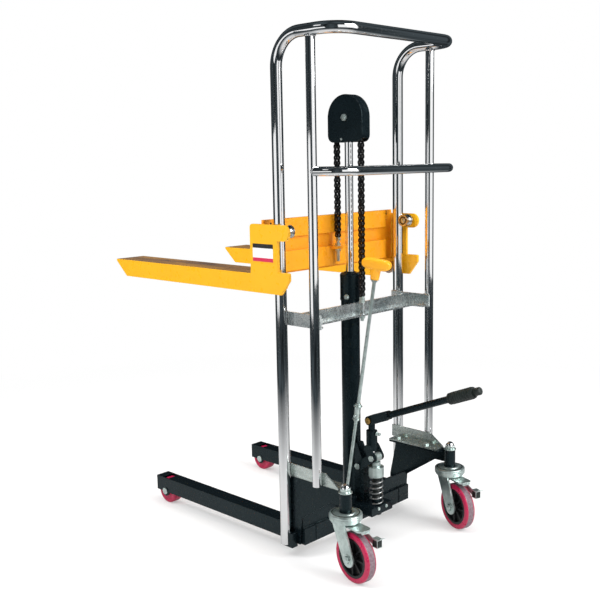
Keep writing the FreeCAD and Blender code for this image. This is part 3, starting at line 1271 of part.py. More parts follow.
def t_handle():
    """Round cross bar with tapered ends, on a neck in line with the rod."""
    middle = RELEASE_HEAD + RELEASE_DIR * T_BAR_RISE
    turn = math.radians(T_BAR_TURN_DEG)
    flat = V(-math.sin(turn), math.cos(turn), 0)
    way = (flat - RELEASE_DIR * flat.dot(RELEASE_DIR)).normalize()
    straight = T_BAR_HALF - T_BAR_END
    bar = rod(middle - way * straight, middle + way * straight, T_BAR_R)
    for end in (way, way * -1):
        bar = bar.fuse(Part.makeCone(T_BAR_R, T_BAR_END_R, T_BAR_END, middle + end * straight, end))
    neck = Part.makeCone(T_NECK_FOOT_R, T_NECK_R, T_BAR_RISE, RELEASE_HEAD, RELEASE_DIR)
    return neck.fuse(bar)


def main():
    os.makedirs("parts", exist_ok=True)
    build_mast()
    build_beam()
    build_chassis()
    build_load_rollers()
    build_casters()
    build_cylinder()
    build_head()
    build_chain()
    build_carriage()
    build_pump()
    build_release()
    for name, shape in pieces.items():
        shape.exportStep("parts/" + name + ".step")
    print(len(pieces), "nodes")


main()
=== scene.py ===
"""Looks of the hand pallet stacker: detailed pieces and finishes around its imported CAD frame."""

from __future__ import annotations

import json
import logging
import math
from dataclasses import dataclass, replace
from enum import Enum
from typing import Any, Sequence

import bmesh
import bpy
from mathutils import Matrix, Vector
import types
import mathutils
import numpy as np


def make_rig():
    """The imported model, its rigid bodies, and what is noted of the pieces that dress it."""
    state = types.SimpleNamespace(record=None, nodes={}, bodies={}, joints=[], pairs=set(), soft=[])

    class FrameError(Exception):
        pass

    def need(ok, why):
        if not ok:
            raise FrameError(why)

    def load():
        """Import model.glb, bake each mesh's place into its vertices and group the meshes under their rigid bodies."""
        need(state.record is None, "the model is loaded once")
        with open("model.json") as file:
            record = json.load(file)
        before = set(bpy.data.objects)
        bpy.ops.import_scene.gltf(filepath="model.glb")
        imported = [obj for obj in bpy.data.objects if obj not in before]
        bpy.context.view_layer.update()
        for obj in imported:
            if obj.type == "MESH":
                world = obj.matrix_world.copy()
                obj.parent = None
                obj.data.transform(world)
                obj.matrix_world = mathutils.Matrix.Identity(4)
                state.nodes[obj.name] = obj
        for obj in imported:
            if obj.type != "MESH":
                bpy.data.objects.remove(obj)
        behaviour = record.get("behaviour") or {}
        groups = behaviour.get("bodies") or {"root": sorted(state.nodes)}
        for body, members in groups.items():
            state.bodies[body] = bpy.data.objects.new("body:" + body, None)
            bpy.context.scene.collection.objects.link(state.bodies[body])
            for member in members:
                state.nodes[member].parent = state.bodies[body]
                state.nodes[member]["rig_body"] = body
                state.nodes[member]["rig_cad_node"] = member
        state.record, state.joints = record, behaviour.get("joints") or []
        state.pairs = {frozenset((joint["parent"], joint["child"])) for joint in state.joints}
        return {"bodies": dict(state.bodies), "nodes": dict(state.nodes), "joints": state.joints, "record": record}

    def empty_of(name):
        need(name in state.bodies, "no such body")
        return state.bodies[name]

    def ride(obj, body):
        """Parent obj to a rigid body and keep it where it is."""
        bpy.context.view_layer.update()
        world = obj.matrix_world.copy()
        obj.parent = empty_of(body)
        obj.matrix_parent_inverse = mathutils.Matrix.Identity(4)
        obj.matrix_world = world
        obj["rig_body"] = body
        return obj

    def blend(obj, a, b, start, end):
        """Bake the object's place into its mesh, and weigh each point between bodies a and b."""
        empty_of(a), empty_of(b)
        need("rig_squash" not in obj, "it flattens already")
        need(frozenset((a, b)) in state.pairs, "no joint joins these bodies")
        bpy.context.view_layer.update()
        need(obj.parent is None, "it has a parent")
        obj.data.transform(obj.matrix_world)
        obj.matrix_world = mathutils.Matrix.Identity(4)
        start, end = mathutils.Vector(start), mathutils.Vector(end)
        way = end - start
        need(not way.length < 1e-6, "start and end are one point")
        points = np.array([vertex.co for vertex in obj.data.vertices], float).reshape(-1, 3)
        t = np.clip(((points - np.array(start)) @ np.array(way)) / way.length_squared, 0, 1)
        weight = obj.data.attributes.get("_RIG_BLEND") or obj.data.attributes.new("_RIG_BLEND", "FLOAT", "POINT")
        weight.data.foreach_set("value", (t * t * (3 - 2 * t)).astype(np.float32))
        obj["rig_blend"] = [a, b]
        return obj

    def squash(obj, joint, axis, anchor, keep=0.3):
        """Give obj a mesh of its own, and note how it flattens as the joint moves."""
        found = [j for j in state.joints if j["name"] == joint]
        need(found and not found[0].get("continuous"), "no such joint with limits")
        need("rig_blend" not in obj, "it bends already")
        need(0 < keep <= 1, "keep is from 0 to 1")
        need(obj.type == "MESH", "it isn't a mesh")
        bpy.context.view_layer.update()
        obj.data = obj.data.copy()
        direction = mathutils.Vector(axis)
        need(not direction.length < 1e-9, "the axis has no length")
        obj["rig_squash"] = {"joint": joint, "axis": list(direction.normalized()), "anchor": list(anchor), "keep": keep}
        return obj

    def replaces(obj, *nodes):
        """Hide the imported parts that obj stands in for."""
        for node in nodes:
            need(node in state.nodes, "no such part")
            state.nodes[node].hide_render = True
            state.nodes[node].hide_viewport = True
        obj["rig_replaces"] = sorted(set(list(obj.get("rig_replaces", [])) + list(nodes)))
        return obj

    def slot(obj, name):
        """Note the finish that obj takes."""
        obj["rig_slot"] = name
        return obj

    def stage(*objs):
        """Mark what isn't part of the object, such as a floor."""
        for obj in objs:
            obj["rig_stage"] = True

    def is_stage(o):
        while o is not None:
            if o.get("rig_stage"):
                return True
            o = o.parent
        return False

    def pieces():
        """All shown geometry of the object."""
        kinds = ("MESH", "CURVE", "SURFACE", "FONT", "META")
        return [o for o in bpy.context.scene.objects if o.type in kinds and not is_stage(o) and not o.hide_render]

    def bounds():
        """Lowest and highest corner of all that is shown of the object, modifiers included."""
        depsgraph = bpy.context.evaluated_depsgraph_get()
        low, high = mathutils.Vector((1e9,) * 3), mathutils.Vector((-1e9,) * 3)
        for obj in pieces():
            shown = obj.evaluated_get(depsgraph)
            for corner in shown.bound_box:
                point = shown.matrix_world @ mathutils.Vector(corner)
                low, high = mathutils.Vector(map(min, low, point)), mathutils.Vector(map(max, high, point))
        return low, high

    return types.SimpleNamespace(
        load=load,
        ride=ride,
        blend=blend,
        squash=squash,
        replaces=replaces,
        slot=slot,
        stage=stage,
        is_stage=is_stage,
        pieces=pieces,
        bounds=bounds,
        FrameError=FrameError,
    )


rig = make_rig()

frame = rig.load()
CAD_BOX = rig.bounds()
LOG = logging.getLogger("stacker")

Socket = bpy.types.NodeSocket
Triple = tuple[float, float, float]
Colour = tuple[float, float, float]
Profile = Sequence[tuple[float, float]]
Path = list[Vector]

# A fastener's pair is its head's radius and height, any other pair two places or radii.
Pair = tuple[float, float]

X = Vector((1.0, 0.0, 0.0))
Y = Vector((0.0, 1.0, 0.0))
Z = Vector((0.0, 0.0, 1.0))
TUBE_PLANE_Y = 0.126149
TINY = 1e-6

# Most of a noise lies in the first range, and the second gives a stronger contrast.
NOISE_RANGE = (0.3, 0.7)
TONE_RANGE = (0.35, 0.65)
EVEN = (1.0, 1.0, 1.0)
WHITE = (1.0, 1.0, 1.0, 1.0)


def at(x: float, y: float, z: float) -> Vector:
    """Point in the row frame, from x, distance behind the front tubes and height."""
    return Vector((x, y + TUBE_PLANE_Y, z))


class Side(Enum):
    """Sides of the machine, by the sign of x."""

    LEFT = 1.0
    RIGHT = -1.0

    @property
    def tag(self) -> str:
        """Word for the side in the names of pieces."""
        return self.name.lower()

    @property
    def out(self) -> Vector:
        """Direction away from the machine's middle."""
        return X * self.value

    def at(self, x: float, y: float, z: float) -> Vector:
        """Point on this side, with x counted from the machine's middle outwards."""
        return at(self.value * x, y, z)


class Graph:
    """Node tree of a material or the world, with short calls to add and join its nodes."""

    def __init__(self, owner: bpy.types.Material | bpy.types.World) -> None:
        """Start an empty tree.

        Args:
            owner: Material or world that the tree belongs to.
        """
        self.owner = owner
        owner.use_nodes = True
        self.tree = owner.node_tree
        self.tree.nodes.clear()

    def add(self, kind: str, inputs: dict[Any, Any] | None = None, **settings: Any) -> bpy.types.Node:
        """Add a node.

        Args:
            kind: Node type without its ShaderNode prefix.
            inputs: Values or output sockets for its inputs, by name or index.
            **settings: Properties of the node itself.

        Returns:
            The new node.
        """
        node = self.tree.nodes.new("ShaderNode" + kind)
        for key, value in settings.items():
            setattr(node, key, value)
        for key, value in (inputs or {}).items():
            if isinstance(value, Socket):
                self.tree.links.new(value, node.inputs[key])
            else:
                node.inputs[key].default_value = value
        return node

    def place(self, stretch: Triple = EVEN) -> Socket:
        """Object coordinates, stretched per axis.

        Args:
            stretch: Factor on each axis.

        Returns:
            The vector socket.
        """
        where = self.add("TexCoord").outputs["Object"]
        return self.add("Mapping", {"Vector": where, "Scale": stretch}).outputs["Vector"]

    def noise(self, scale: float, detail: float = 3.0, stretch: Triple = EVEN,
              rough: float = 0.55) -> Socket:
        """Fractal noise from 0 to 1 in object space.

        Args:
            scale: Cells per metre.
            detail: Octaves.
            stretch: Factor on each axis.
            rough: Share of the fine octaves.

        Returns:
            The value socket.
        """
        inputs = {"Vector": self.place(stretch), "Scale": scale, "Detail": detail, "Roughness": rough}
        return self.add("TexNoise", inputs).outputs["Fac"]

    def span(self, value: Socket, low: float, high: float, to_low: float = 0.0,
             to_high: float = 1.0) -> Socket:
        """Map a value from one range to another, clamped.

        Args:
            value: The value.
            low: Start of its range.
            high: End of its range.
            to_low: Result at the start.
            to_high: Result at the end.

        Returns:
            The mapped value.
        """
        inputs = {"Value": value, "From Min": low, "From Max": high, "To Min": to_low, "To Max": to_high}
        return self.add("MapRange", inputs).outputs["Result"]

    def vary(self, noise: Socket, middle: float, first: float,
             last: float) -> Socket:
        """Number that follows a noise around its middle.

        Args:
            noise: The noise.
            middle: The number without the noise.
            first: Factor on it where the noise is low.
            last: Factor on it where the noise is high.

        Returns:
            The varied number.
        """
        return self.span(noise, *NOISE_RANGE, middle * first, middle * last)

    def mix(self, share: Socket, first: Any, second: Any) -> Socket:
        """Blend two colours.

        Args:
            share: How much of the second colour.
            first: Colour or socket.
            second: Colour or socket.

        Returns:
            The colour socket.
        """
        colours = [(*tone, 1.0) if isinstance(tone, tuple) else tone for tone in (first, second)]
        return self.add("Mix", {0: share, 6: colours[0], 7: colours[1]}, data_type="RGBA").outputs[2]

    def maths(self, operation: str, first: Any, second: Any) -> Socket:
        """One arithmetic step.

        Args:
            operation: Blender's name of the operation.
            first: Value or socket.
            second: Value or socket.

        Returns:
            The result.
        """
        return self.add("Math", {0: first, 1: second}, operation=operation).outputs[0]

    def length(self, vector: Socket) -> Socket:
        """Length of a vector."""
        return self.add("VectorMath", {0: vector}, operation="LENGTH").outputs["Value"]

    def height(self, vector: Socket) -> Socket:
        """Share of a vector along z."""
        return self.add("SeparateXYZ", {0: vector}).outputs["Z"]

    def rounded(self, radius: float) -> Socket:
        """Normal that rounds sharp edges by a radius in metres."""
        return self.add("Bevel", {"Radius": radius}, samples=4).outputs["Normal"]

    def edges(self, radius: float) -> Socket:
        """Mask that rises to 1 along sharp edges.

        Args:
            radius: Width of the edge zone in metres.

        Returns:
            The mask.
        """
        plain = self.add("NewGeometry").outputs["Normal"]
        dot = self.add("VectorMath", {0: self.rounded(radius), 1: plain}, operation="DOT_PRODUCT")
        return self.span(dot.outputs["Value"], 0.995, 0.9)

    def bump(self, height: Socket, strength: float, depth: float,
             normal: Socket | None = None) -> Socket:
        """Relief from a height.

        Args:
            height: The height.
            strength: How strongly it shows.
            depth: Depth in metres.
            normal: Normal to start from.

        Returns:
            The normal socket.
        """
        inputs: dict[str, Any] = {"Height": height, "Strength": strength, "Distance": depth}
        if normal is not None:
            inputs["Normal"] = normal
        return self.add("Bump", inputs).outputs["Normal"]

    def close(self, **inputs: Any) -> None:
        """Finish with a principled shader.

        Args:
            **inputs: Its inputs, with underscores for spaces.
        """
        named = {key.replace("_", " "): value for key, value in inputs.items()}
        for key, value in named.items():
            if isinstance(value, tuple):
                named[key] = (*value, 1.0)
        shader = self.add("BsdfPrincipled", named)
        self.add("OutputMaterial", {"Surface": shader.outputs["BSDF"]})

    def cover(self, share: Socket, under: bpy.types.Node, over: bpy.types.Node) -> None:
        """Finish with one shader over another.

        Args:
            share: How much of the upper shader shows.
            under: Lower shader.
            over: Upper shader.
        """
        both = self.add("MixShader", {0: share, 1: under.outputs[0], 2: over.outputs[0]})
        self.add("OutputMaterial", {"Surface": both.outputs[0]})


class Finish:
    """A surface finish; its material is made once and shared."""

    title: str

    def draw(self, graph: Graph) -> None:
        """Lay the finish.

        Args:
            graph: Empty node tree of its material.
        """
        raise NotImplementedError

    def material(self) -> bpy.types.Material:
        """Find the material of this finish, or make it.

        Returns:
            The material.
        """
        name = type(self).__name__ + "_" + self.title
        known = bpy.data.materials.get(name)
        if known is None:
            known = bpy.data.materials.new(name)
            self.draw(Graph(known))
        return known


@dataclass(frozen=True)
class Chrome(Finish):
    """Bright chrome plate with faint polishing streaks and handling haze."""

    title: str = "tube"
    tint: Colour = (0.93, 0.94, 0.95)
    shade: float = 0.9
    haze: float = 0.06
    streaks: float = 90.0
    clouds: float = 9.0
    scratches: float = 700.0

    def draw(self, graph: Graph) -> None:
        """Lay the chrome.

        Args:
            graph: Empty node tree of its material.
        """
        streak = graph.noise(self.streaks, 4.0, (1.0, 1.0, 0.03))
        cloud = graph.noise(self.clouds)
        blur = graph.maths("MULTIPLY", streak, cloud)
        haze = graph.span(blur, 0.12, 0.5, self.haze * 0.6, self.haze * 2.2)
        shaded = tuple(channel * self.shade for channel in self.tint)
        normal = graph.bump(graph.noise(self.scratches, 2.0, (1.0, 1.0, 0.1)), 0.015, 0.0002)
        graph.close(Base_Color=graph.mix(cloud, self.tint, shaded), Metallic=1.0, Roughness=haze,
                    Normal=normal)


@dataclass(frozen=True)
class ZincPlate(Finish):
    """Zinc plate with its cloudy passivated film, fine grain and a painted highlight along its edges."""

    title: str = "bright"
    pale: Colour = (0.76, 0.87, 0.84)
    dull: Colour = (0.44, 0.54, 0.52)
    roughness: float = 0.36
    clouds: float = 38.0
    stretch: Triple = EVEN
    smears: float = 120.0
    grain: float = 900.0
    edge: float = 0.0009
    edge_tone: Colour = (0.86, 0.89, 0.88)
    edge_share: float = 0.6

    def draw(self, graph: Graph) -> None:
        """Lay the zinc.

        Args:
            graph: Empty node tree of its material.
        """
        cloud = graph.noise(self.clouds, 5.0, self.stretch, 0.65)
        film = graph.mix(graph.span(cloud, *NOISE_RANGE), self.dull, self.pale)
        # Painted highlight: a pale band along every sharp edge.
        rubbed = graph.maths("MULTIPLY", graph.edges(self.edge), self.edge_share)
        rough = graph.vary(graph.noise(self.smears, 4.0), self.roughness, 0.75, 1.3)
        normal = graph.bump(graph.noise(self.grain, 2.0), 0.12, 0.0002, graph.rounded(self.edge))
        graph.close(Base_Color=graph.mix(rubbed, film, self.edge_tone), Metallic=0.92, Roughness=rough,
                    Normal=normal)


@dataclass(frozen=True)
class Enamel(Finish):
    """Sprayed enamel with a fine peel relief, slight tone changes, rubbed edges and perhaps a dark brown tone on the
    faces that look up.
    """

    title: str
    body: Colour
    deep: Colour
    rubbed: Colour
    roughness: float = 0.3
    coat: float = 0.25
    coat_roughness: float = 0.12
    edge: float = 0.0012
    wear: float = 0.5
    peel: float = 0.06
    gloss: float = 0.5
    shine: Colour = (1.0, 1.0, 1.0)
    top: tuple[Colour, Colour] | None = None
    clouds: float = 6.0
    chips: float = 140.0
    smears: float = 45.0
    peel_cells: float = 260.0
    rub_cells: float = 9.0
    rub_clouds: float = 5.0

    def draw(self, graph: Graph) -> None:
        """Lay the enamel.

        Args:
            graph: Empty node tree of its material.
        """
        tone = graph.span(graph.noise(self.clouds, 4.0), *TONE_RANGE)
        colour = graph.mix(tone, self.deep, self.body)
        if self.top is not None:
            colour = self.rub_top(graph, colour)
        chips = graph.span(graph.noise(self.chips, 4.0, rough=0.7), 0.45, 0.62)
        chipped = graph.maths("MULTIPLY", chips, self.wear)
        worn = graph.maths("MULTIPLY", graph.edges(self.edge), chipped)
        rough = graph.vary(graph.noise(self.smears, 4.0), self.roughness, 0.8, 1.25)
        skin = graph.noise(self.peel_cells, 2.0)
        normal = graph.bump(skin, self.peel, 0.0006, graph.rounded(self.edge))
        graph.close(Base_Color=graph.mix(worn, colour, self.rubbed), Roughness=rough,
                    Coat_Weight=self.coat, Coat_Roughness=self.coat_roughness,
                    Specular_IOR_Level=self.gloss, Specular_Tint=self.shine, Normal=normal)

    def rub_top(self, graph: Graph, colour: Socket) -> Socket:
        """Lay a dark brown tone, in streaks, over the faces that look up.

        Args:
            graph: Node tree of the material.
            colour: Colour of the enamel.

        Returns:
            The colour with its dark brown top.
        """
        # A dark brown tone, streaked by noise, lies over the faces that look up.
        up = graph.height(graph.add("NewGeometry").outputs["Normal"])
        rub = graph.noise(self.rub_cells, 6.0, (2.6, 0.6, 1.0), 0.68)
        brown_tone = graph.mix(graph.span(rub, 0.36, 0.62), *self.top)
        cloud = graph.noise(self.rub_clouds, 5.0, (2.0, 0.5, 1.0))
        share = graph.span(cloud, 0.3, 0.6, 0.72, 1.0)
        return graph.mix(graph.maths("MULTIPLY", graph.span(up, 0.8, 0.96), share), colour, brown_tone)


@dataclass(frozen=True)
class Moulding(Finish):
    """Moulded plastic or rubber with a fine spark-eroded grain."""

    title: str
    body: Colour
    deep: Colour
    roughness: float = 0.5
    grain: float = 600.0
    relief: float = 0.25
    edge: float = 0.0008
    clouds: float = 22.0
    smears: float = 80.0

    def draw(self, graph: Graph) -> None:
        """Lay the moulding.

        Args:
            graph: Empty node tree of its material.
        """
        tone = graph.span(graph.noise(self.clouds, 4.0), *TONE_RANGE)
        rough = graph.vary(graph.noise(self.smears), self.roughness, 0.85, 1.15)
        normal = graph.bump(graph.noise(self.grain, 2.0), self.relief, 0.0003, graph.rounded(self.edge))
        graph.close(Base_Color=graph.mix(tone, self.deep, self.body), Roughness=rough, Normal=normal)


@dataclass(frozen=True)
class Tread(Finish):
    """Polyurethane that running has scuffed grey."""

    title: str = "band"
    body: Colour = (0.14, 0.06, 0.085)
    dust: Colour = (0.24, 0.2, 0.22)
    smooth: float = 0.5
    rough: float = 0.72
    scuffs: float = 160.0
    pores: float = 420.0

    def draw(self, graph: Graph) -> None:
        """Lay the tread.

        Args:
            graph: Empty node tree of its material.
        """
        scuff = graph.noise(self.scuffs, 5.0, rough=0.7)
        colour = graph.mix(graph.span(scuff, *TONE_RANGE), self.body, self.dust)
        rough = graph.span(scuff, *NOISE_RANGE, self.smooth, self.rough)
        normal = graph.bump(graph.noise(self.pores), 0.3, 0.0004)
        graph.close(Base_Color=colour, Roughness=rough, Normal=normal)


@dataclass(frozen=True)
class OiledSteel(Finish):
    """Dark steel under a film of oil, rubbed bright in places."""

    title: str
    body: Colour
    bright: Colour
    roughness: float
    shine: float
    patches: float = 150.0
    grain: float = 800.0

    def draw(self, graph: Graph) -> None:
        """Lay the steel.

        Args:
            graph: Empty node tree of its material.
        """
        patch = graph.noise(self.patches, 4.0, rough=0.65)
        rub = graph.maths("MULTIPLY", graph.span(patch, 0.45, 0.7), self.shine)
        rough = graph.vary(patch, self.roughness, 1.3, 0.75)
        normal = graph.bump(graph.noise(self.grain, 2.0), 0.12, 0.0002)
        graph.close(Base_Color=graph.mix(rub, self.body, self.bright), Metallic=0.9, Roughness=rough,
                    Normal=normal)


@dataclass(frozen=True)
class Turned(Finish):
    """Turned metal with fine tool marks round its axis."""

    title: str
    body: Colour
    deep: Colour
    roughness: float
    edge: float = 0.0006
    marks: float = 500.0
    clouds: float = 60.0

    def draw(self, graph: Graph) -> None:
        """Lay the turned metal.

        Args:
            graph: Empty node tree of its material.
        """
        marks = graph.noise(self.marks, 2.0, (1.0, 0.05, 0.05))
        colour = graph.mix(graph.span(graph.noise(self.clouds), *NOISE_RANGE), self.deep, self.body)
        rough = graph.vary(marks, self.roughness, 0.7, 1.4)
        normal = graph.bump(marks, 0.15, 0.0002, graph.rounded(self.edge))
        graph.close(Base_Color=colour, Metallic=1.0, Roughness=rough, Normal=normal)


@dataclass(frozen=True)
class Sticker(Finish):
    """Plain banded sticker: dark head, white field, red foot."""

    title: str = "plain"
    low_z: float = 0.854
    high_z: float = 0.903
    head_share: float = 0.24
    foot_share: float = 0.21
    dark: Colour = (0.02, 0.02, 0.022)
    pale: Colour = (0.86, 0.86, 0.87)
    warm: Colour = (0.62, 0.02, 0.08)
    grime: Colour = (0.5, 0.48, 0.45)
    roughness: float = 0.32
    coat: float = 0.3
    specks: float = 70.0
    grain: float = 500.0

    def draw(self, graph: Graph) -> None:
        """Lay the sticker.

        Args:
            graph: Empty node tree of its material.
        """
        z = graph.height(graph.place())
        tall = self.high_z - self.low_z
        head = graph.maths("GREATER_THAN", z, self.high_z - self.head_share * tall)
        foot = graph.maths("LESS_THAN", z, self.low_z + self.foot_share * tall)
        bands = graph.mix(foot, graph.mix(head, self.pale, self.dark), self.warm)
        dirt = graph.span(graph.noise(self.specks, 4.0), 0.5, 0.8, 0.0, 0.12)
        normal = graph.bump(graph.noise(self.grain, 2.0), 0.05, 0.0002)
        graph.close(Base_Color=graph.mix(dirt, bands, self.grime), Roughness=self.roughness,
                    Coat_Weight=self.coat, Normal=normal)


CHROME = Chrome()
ZINC = ZincPlate()
DARK_ZINC = ZincPlate("dull", (0.6, 0.64, 0.63), (0.38, 0.43, 0.43), 0.42)
ROLLED_ZINC = ZincPlate("rolled", (0.66, 0.73, 0.695), (0.4, 0.455, 0.435), 0.28, 9.0, (1.0, 1.0, 7.0))
BEAM_ZINC = ZincPlate("beam", (0.95, 0.98, 0.97), (0.42, 0.5, 0.51), 0.26, 12.0, (0.5, 1.0, 3.0))
BLACK = Enamel("black", (0.0034, 0.0064, 0.0085), (0.0022, 0.0042, 0.0058), (0.1, 0.11, 0.115), 0.27,
               0.08, gloss=0.28, shine=(0.55, 0.92, 1.0))
YELLOW = Enamel("yellow", (0.92, 0.46, 0.011), (0.9, 0.44, 0.01), (0.96, 0.62, 0.13), 0.3, 0.3,
                peel=0.03)
# Fork yellow: its faces that look up take a dark brown tone.
FORK_YELLOW = replace(YELLOW, title="fork", top=((0.36, 0.19, 0.075), (0.14, 0.09, 0.075)))
# Painted shade: a darker, deeper yellow copy of the enamel for the back plate and its bolts, where shade falls.
YELLOW_IN_SHADE = replace(YELLOW, title="orange", body=(0.9, 0.36, 0.01), deep=(0.88, 0.33, 0.009),
                 rubbed=(0.95, 0.55, 0.1))
YELLOW_GRIP = Moulding("yellow_grip", (0.92, 0.42, 0.01), (0.89, 0.39, 0.009), 0.38, 420.0, 0.1, 0.002)
RED = Moulding("red", (0.46, 0.012, 0.07), (0.38, 0.009, 0.055), 0.3, 300.0, 0.08)
HUB_BLACK = Moulding("hub", (0.012, 0.014, 0.015), (0.007, 0.008, 0.009), 0.45)
RUBBER = Moulding("rubber", (0.011, 0.018, 0.016), (0.007, 0.011, 0.01), 0.55, 500.0, 0.3)
CHAIN = OiledSteel("chain", (0.016, 0.017, 0.019), (0.09, 0.09, 0.09), 0.3, 0.35)
# Painted highlight: the rollers and pin ends are made far brighter than the plates, standing in for glints.
CHAIN_ROLL_GLINT = OiledSteel("chain_roll", (0.09, 0.09, 0.09), (0.5, 0.5, 0.5), 0.24, 0.7)
SPRING = OiledSteel("spring", (0.3, 0.31, 0.31), (0.62, 0.64, 0.63), 0.34, 0.8)
BEARING = Turned("bearing", (0.7, 0.72, 0.73), (0.5, 0.52, 0.53), 0.24)
BRASS = Turned("brass", (0.6, 0.36, 0.12), (0.45, 0.25, 0.07), 0.28)
TREAD = Tread()
STICKER = Sticker()

SLOT_FINISH: dict[str, Finish] = {
    "chrome_tube": CHROME, "zinc_plate": ZINC, "black_enamel": BLACK, "yellow_enamel": YELLOW,
    "yellow_grip": YELLOW_GRIP, "chain_steel": CHAIN, "brass_pin": BRASS, "roller_steel": BEARING,
    "red_polyurethane": RED, "black_hub": HUB_BLACK, "black_rubber": RUBBER,
}
NODE_FINISH: dict[str, Finish] = {
    "caster_stems": ZINC, "rocker_roller": ZINC, "pump_plunger": ZINC, "fork_left": FORK_YELLOW,
    "fork_right": FORK_YELLOW, "carriage_back": YELLOW_IN_SHADE, "cross_beam": BEAM_ZINC,
    "tube_brackets": ROLLED_ZINC,
}


@dataclass(frozen=True)
class Lamp:
    """Soft square lamp with its place, aim, side length, watts and whether shiny surfaces show it."""

    name: str
    place: Triple
    aim: Triple
    size: float
    power: float
    mirrored: bool = True

    def hang(self) -> None:
        """Put the lamp in the scene."""
        data = bpy.data.lights.new(self.name, "AREA")
        data.size = self.size
        data.energy = self.power
        lamp = bpy.data.objects.new(self.name, data)
        lamp.location = self.place
        way = Vector(self.aim) - Vector(self.place)
        lamp.rotation_euler = way.to_track_quat("-Z", "Y").to_euler()
        lamp.visible_glossy = self.mirrored
        bpy.context.scene.collection.objects.link(lamp)


LAMPS = (
    Lamp("key", (-0.9, 3.4, 2.7), (0.0, 0.1, 0.7), 2.4, 150.0),
    Lamp("side", (2.7, -0.9, 3.3), (0.0, 0.0, 0.6), 1.6, 90.0, mirrored=False),
    Lamp("top", (0.2, 0.2, 3.9), (0.0, 0.0, 0.0), 2.4, 60.0, mirrored=False),
)


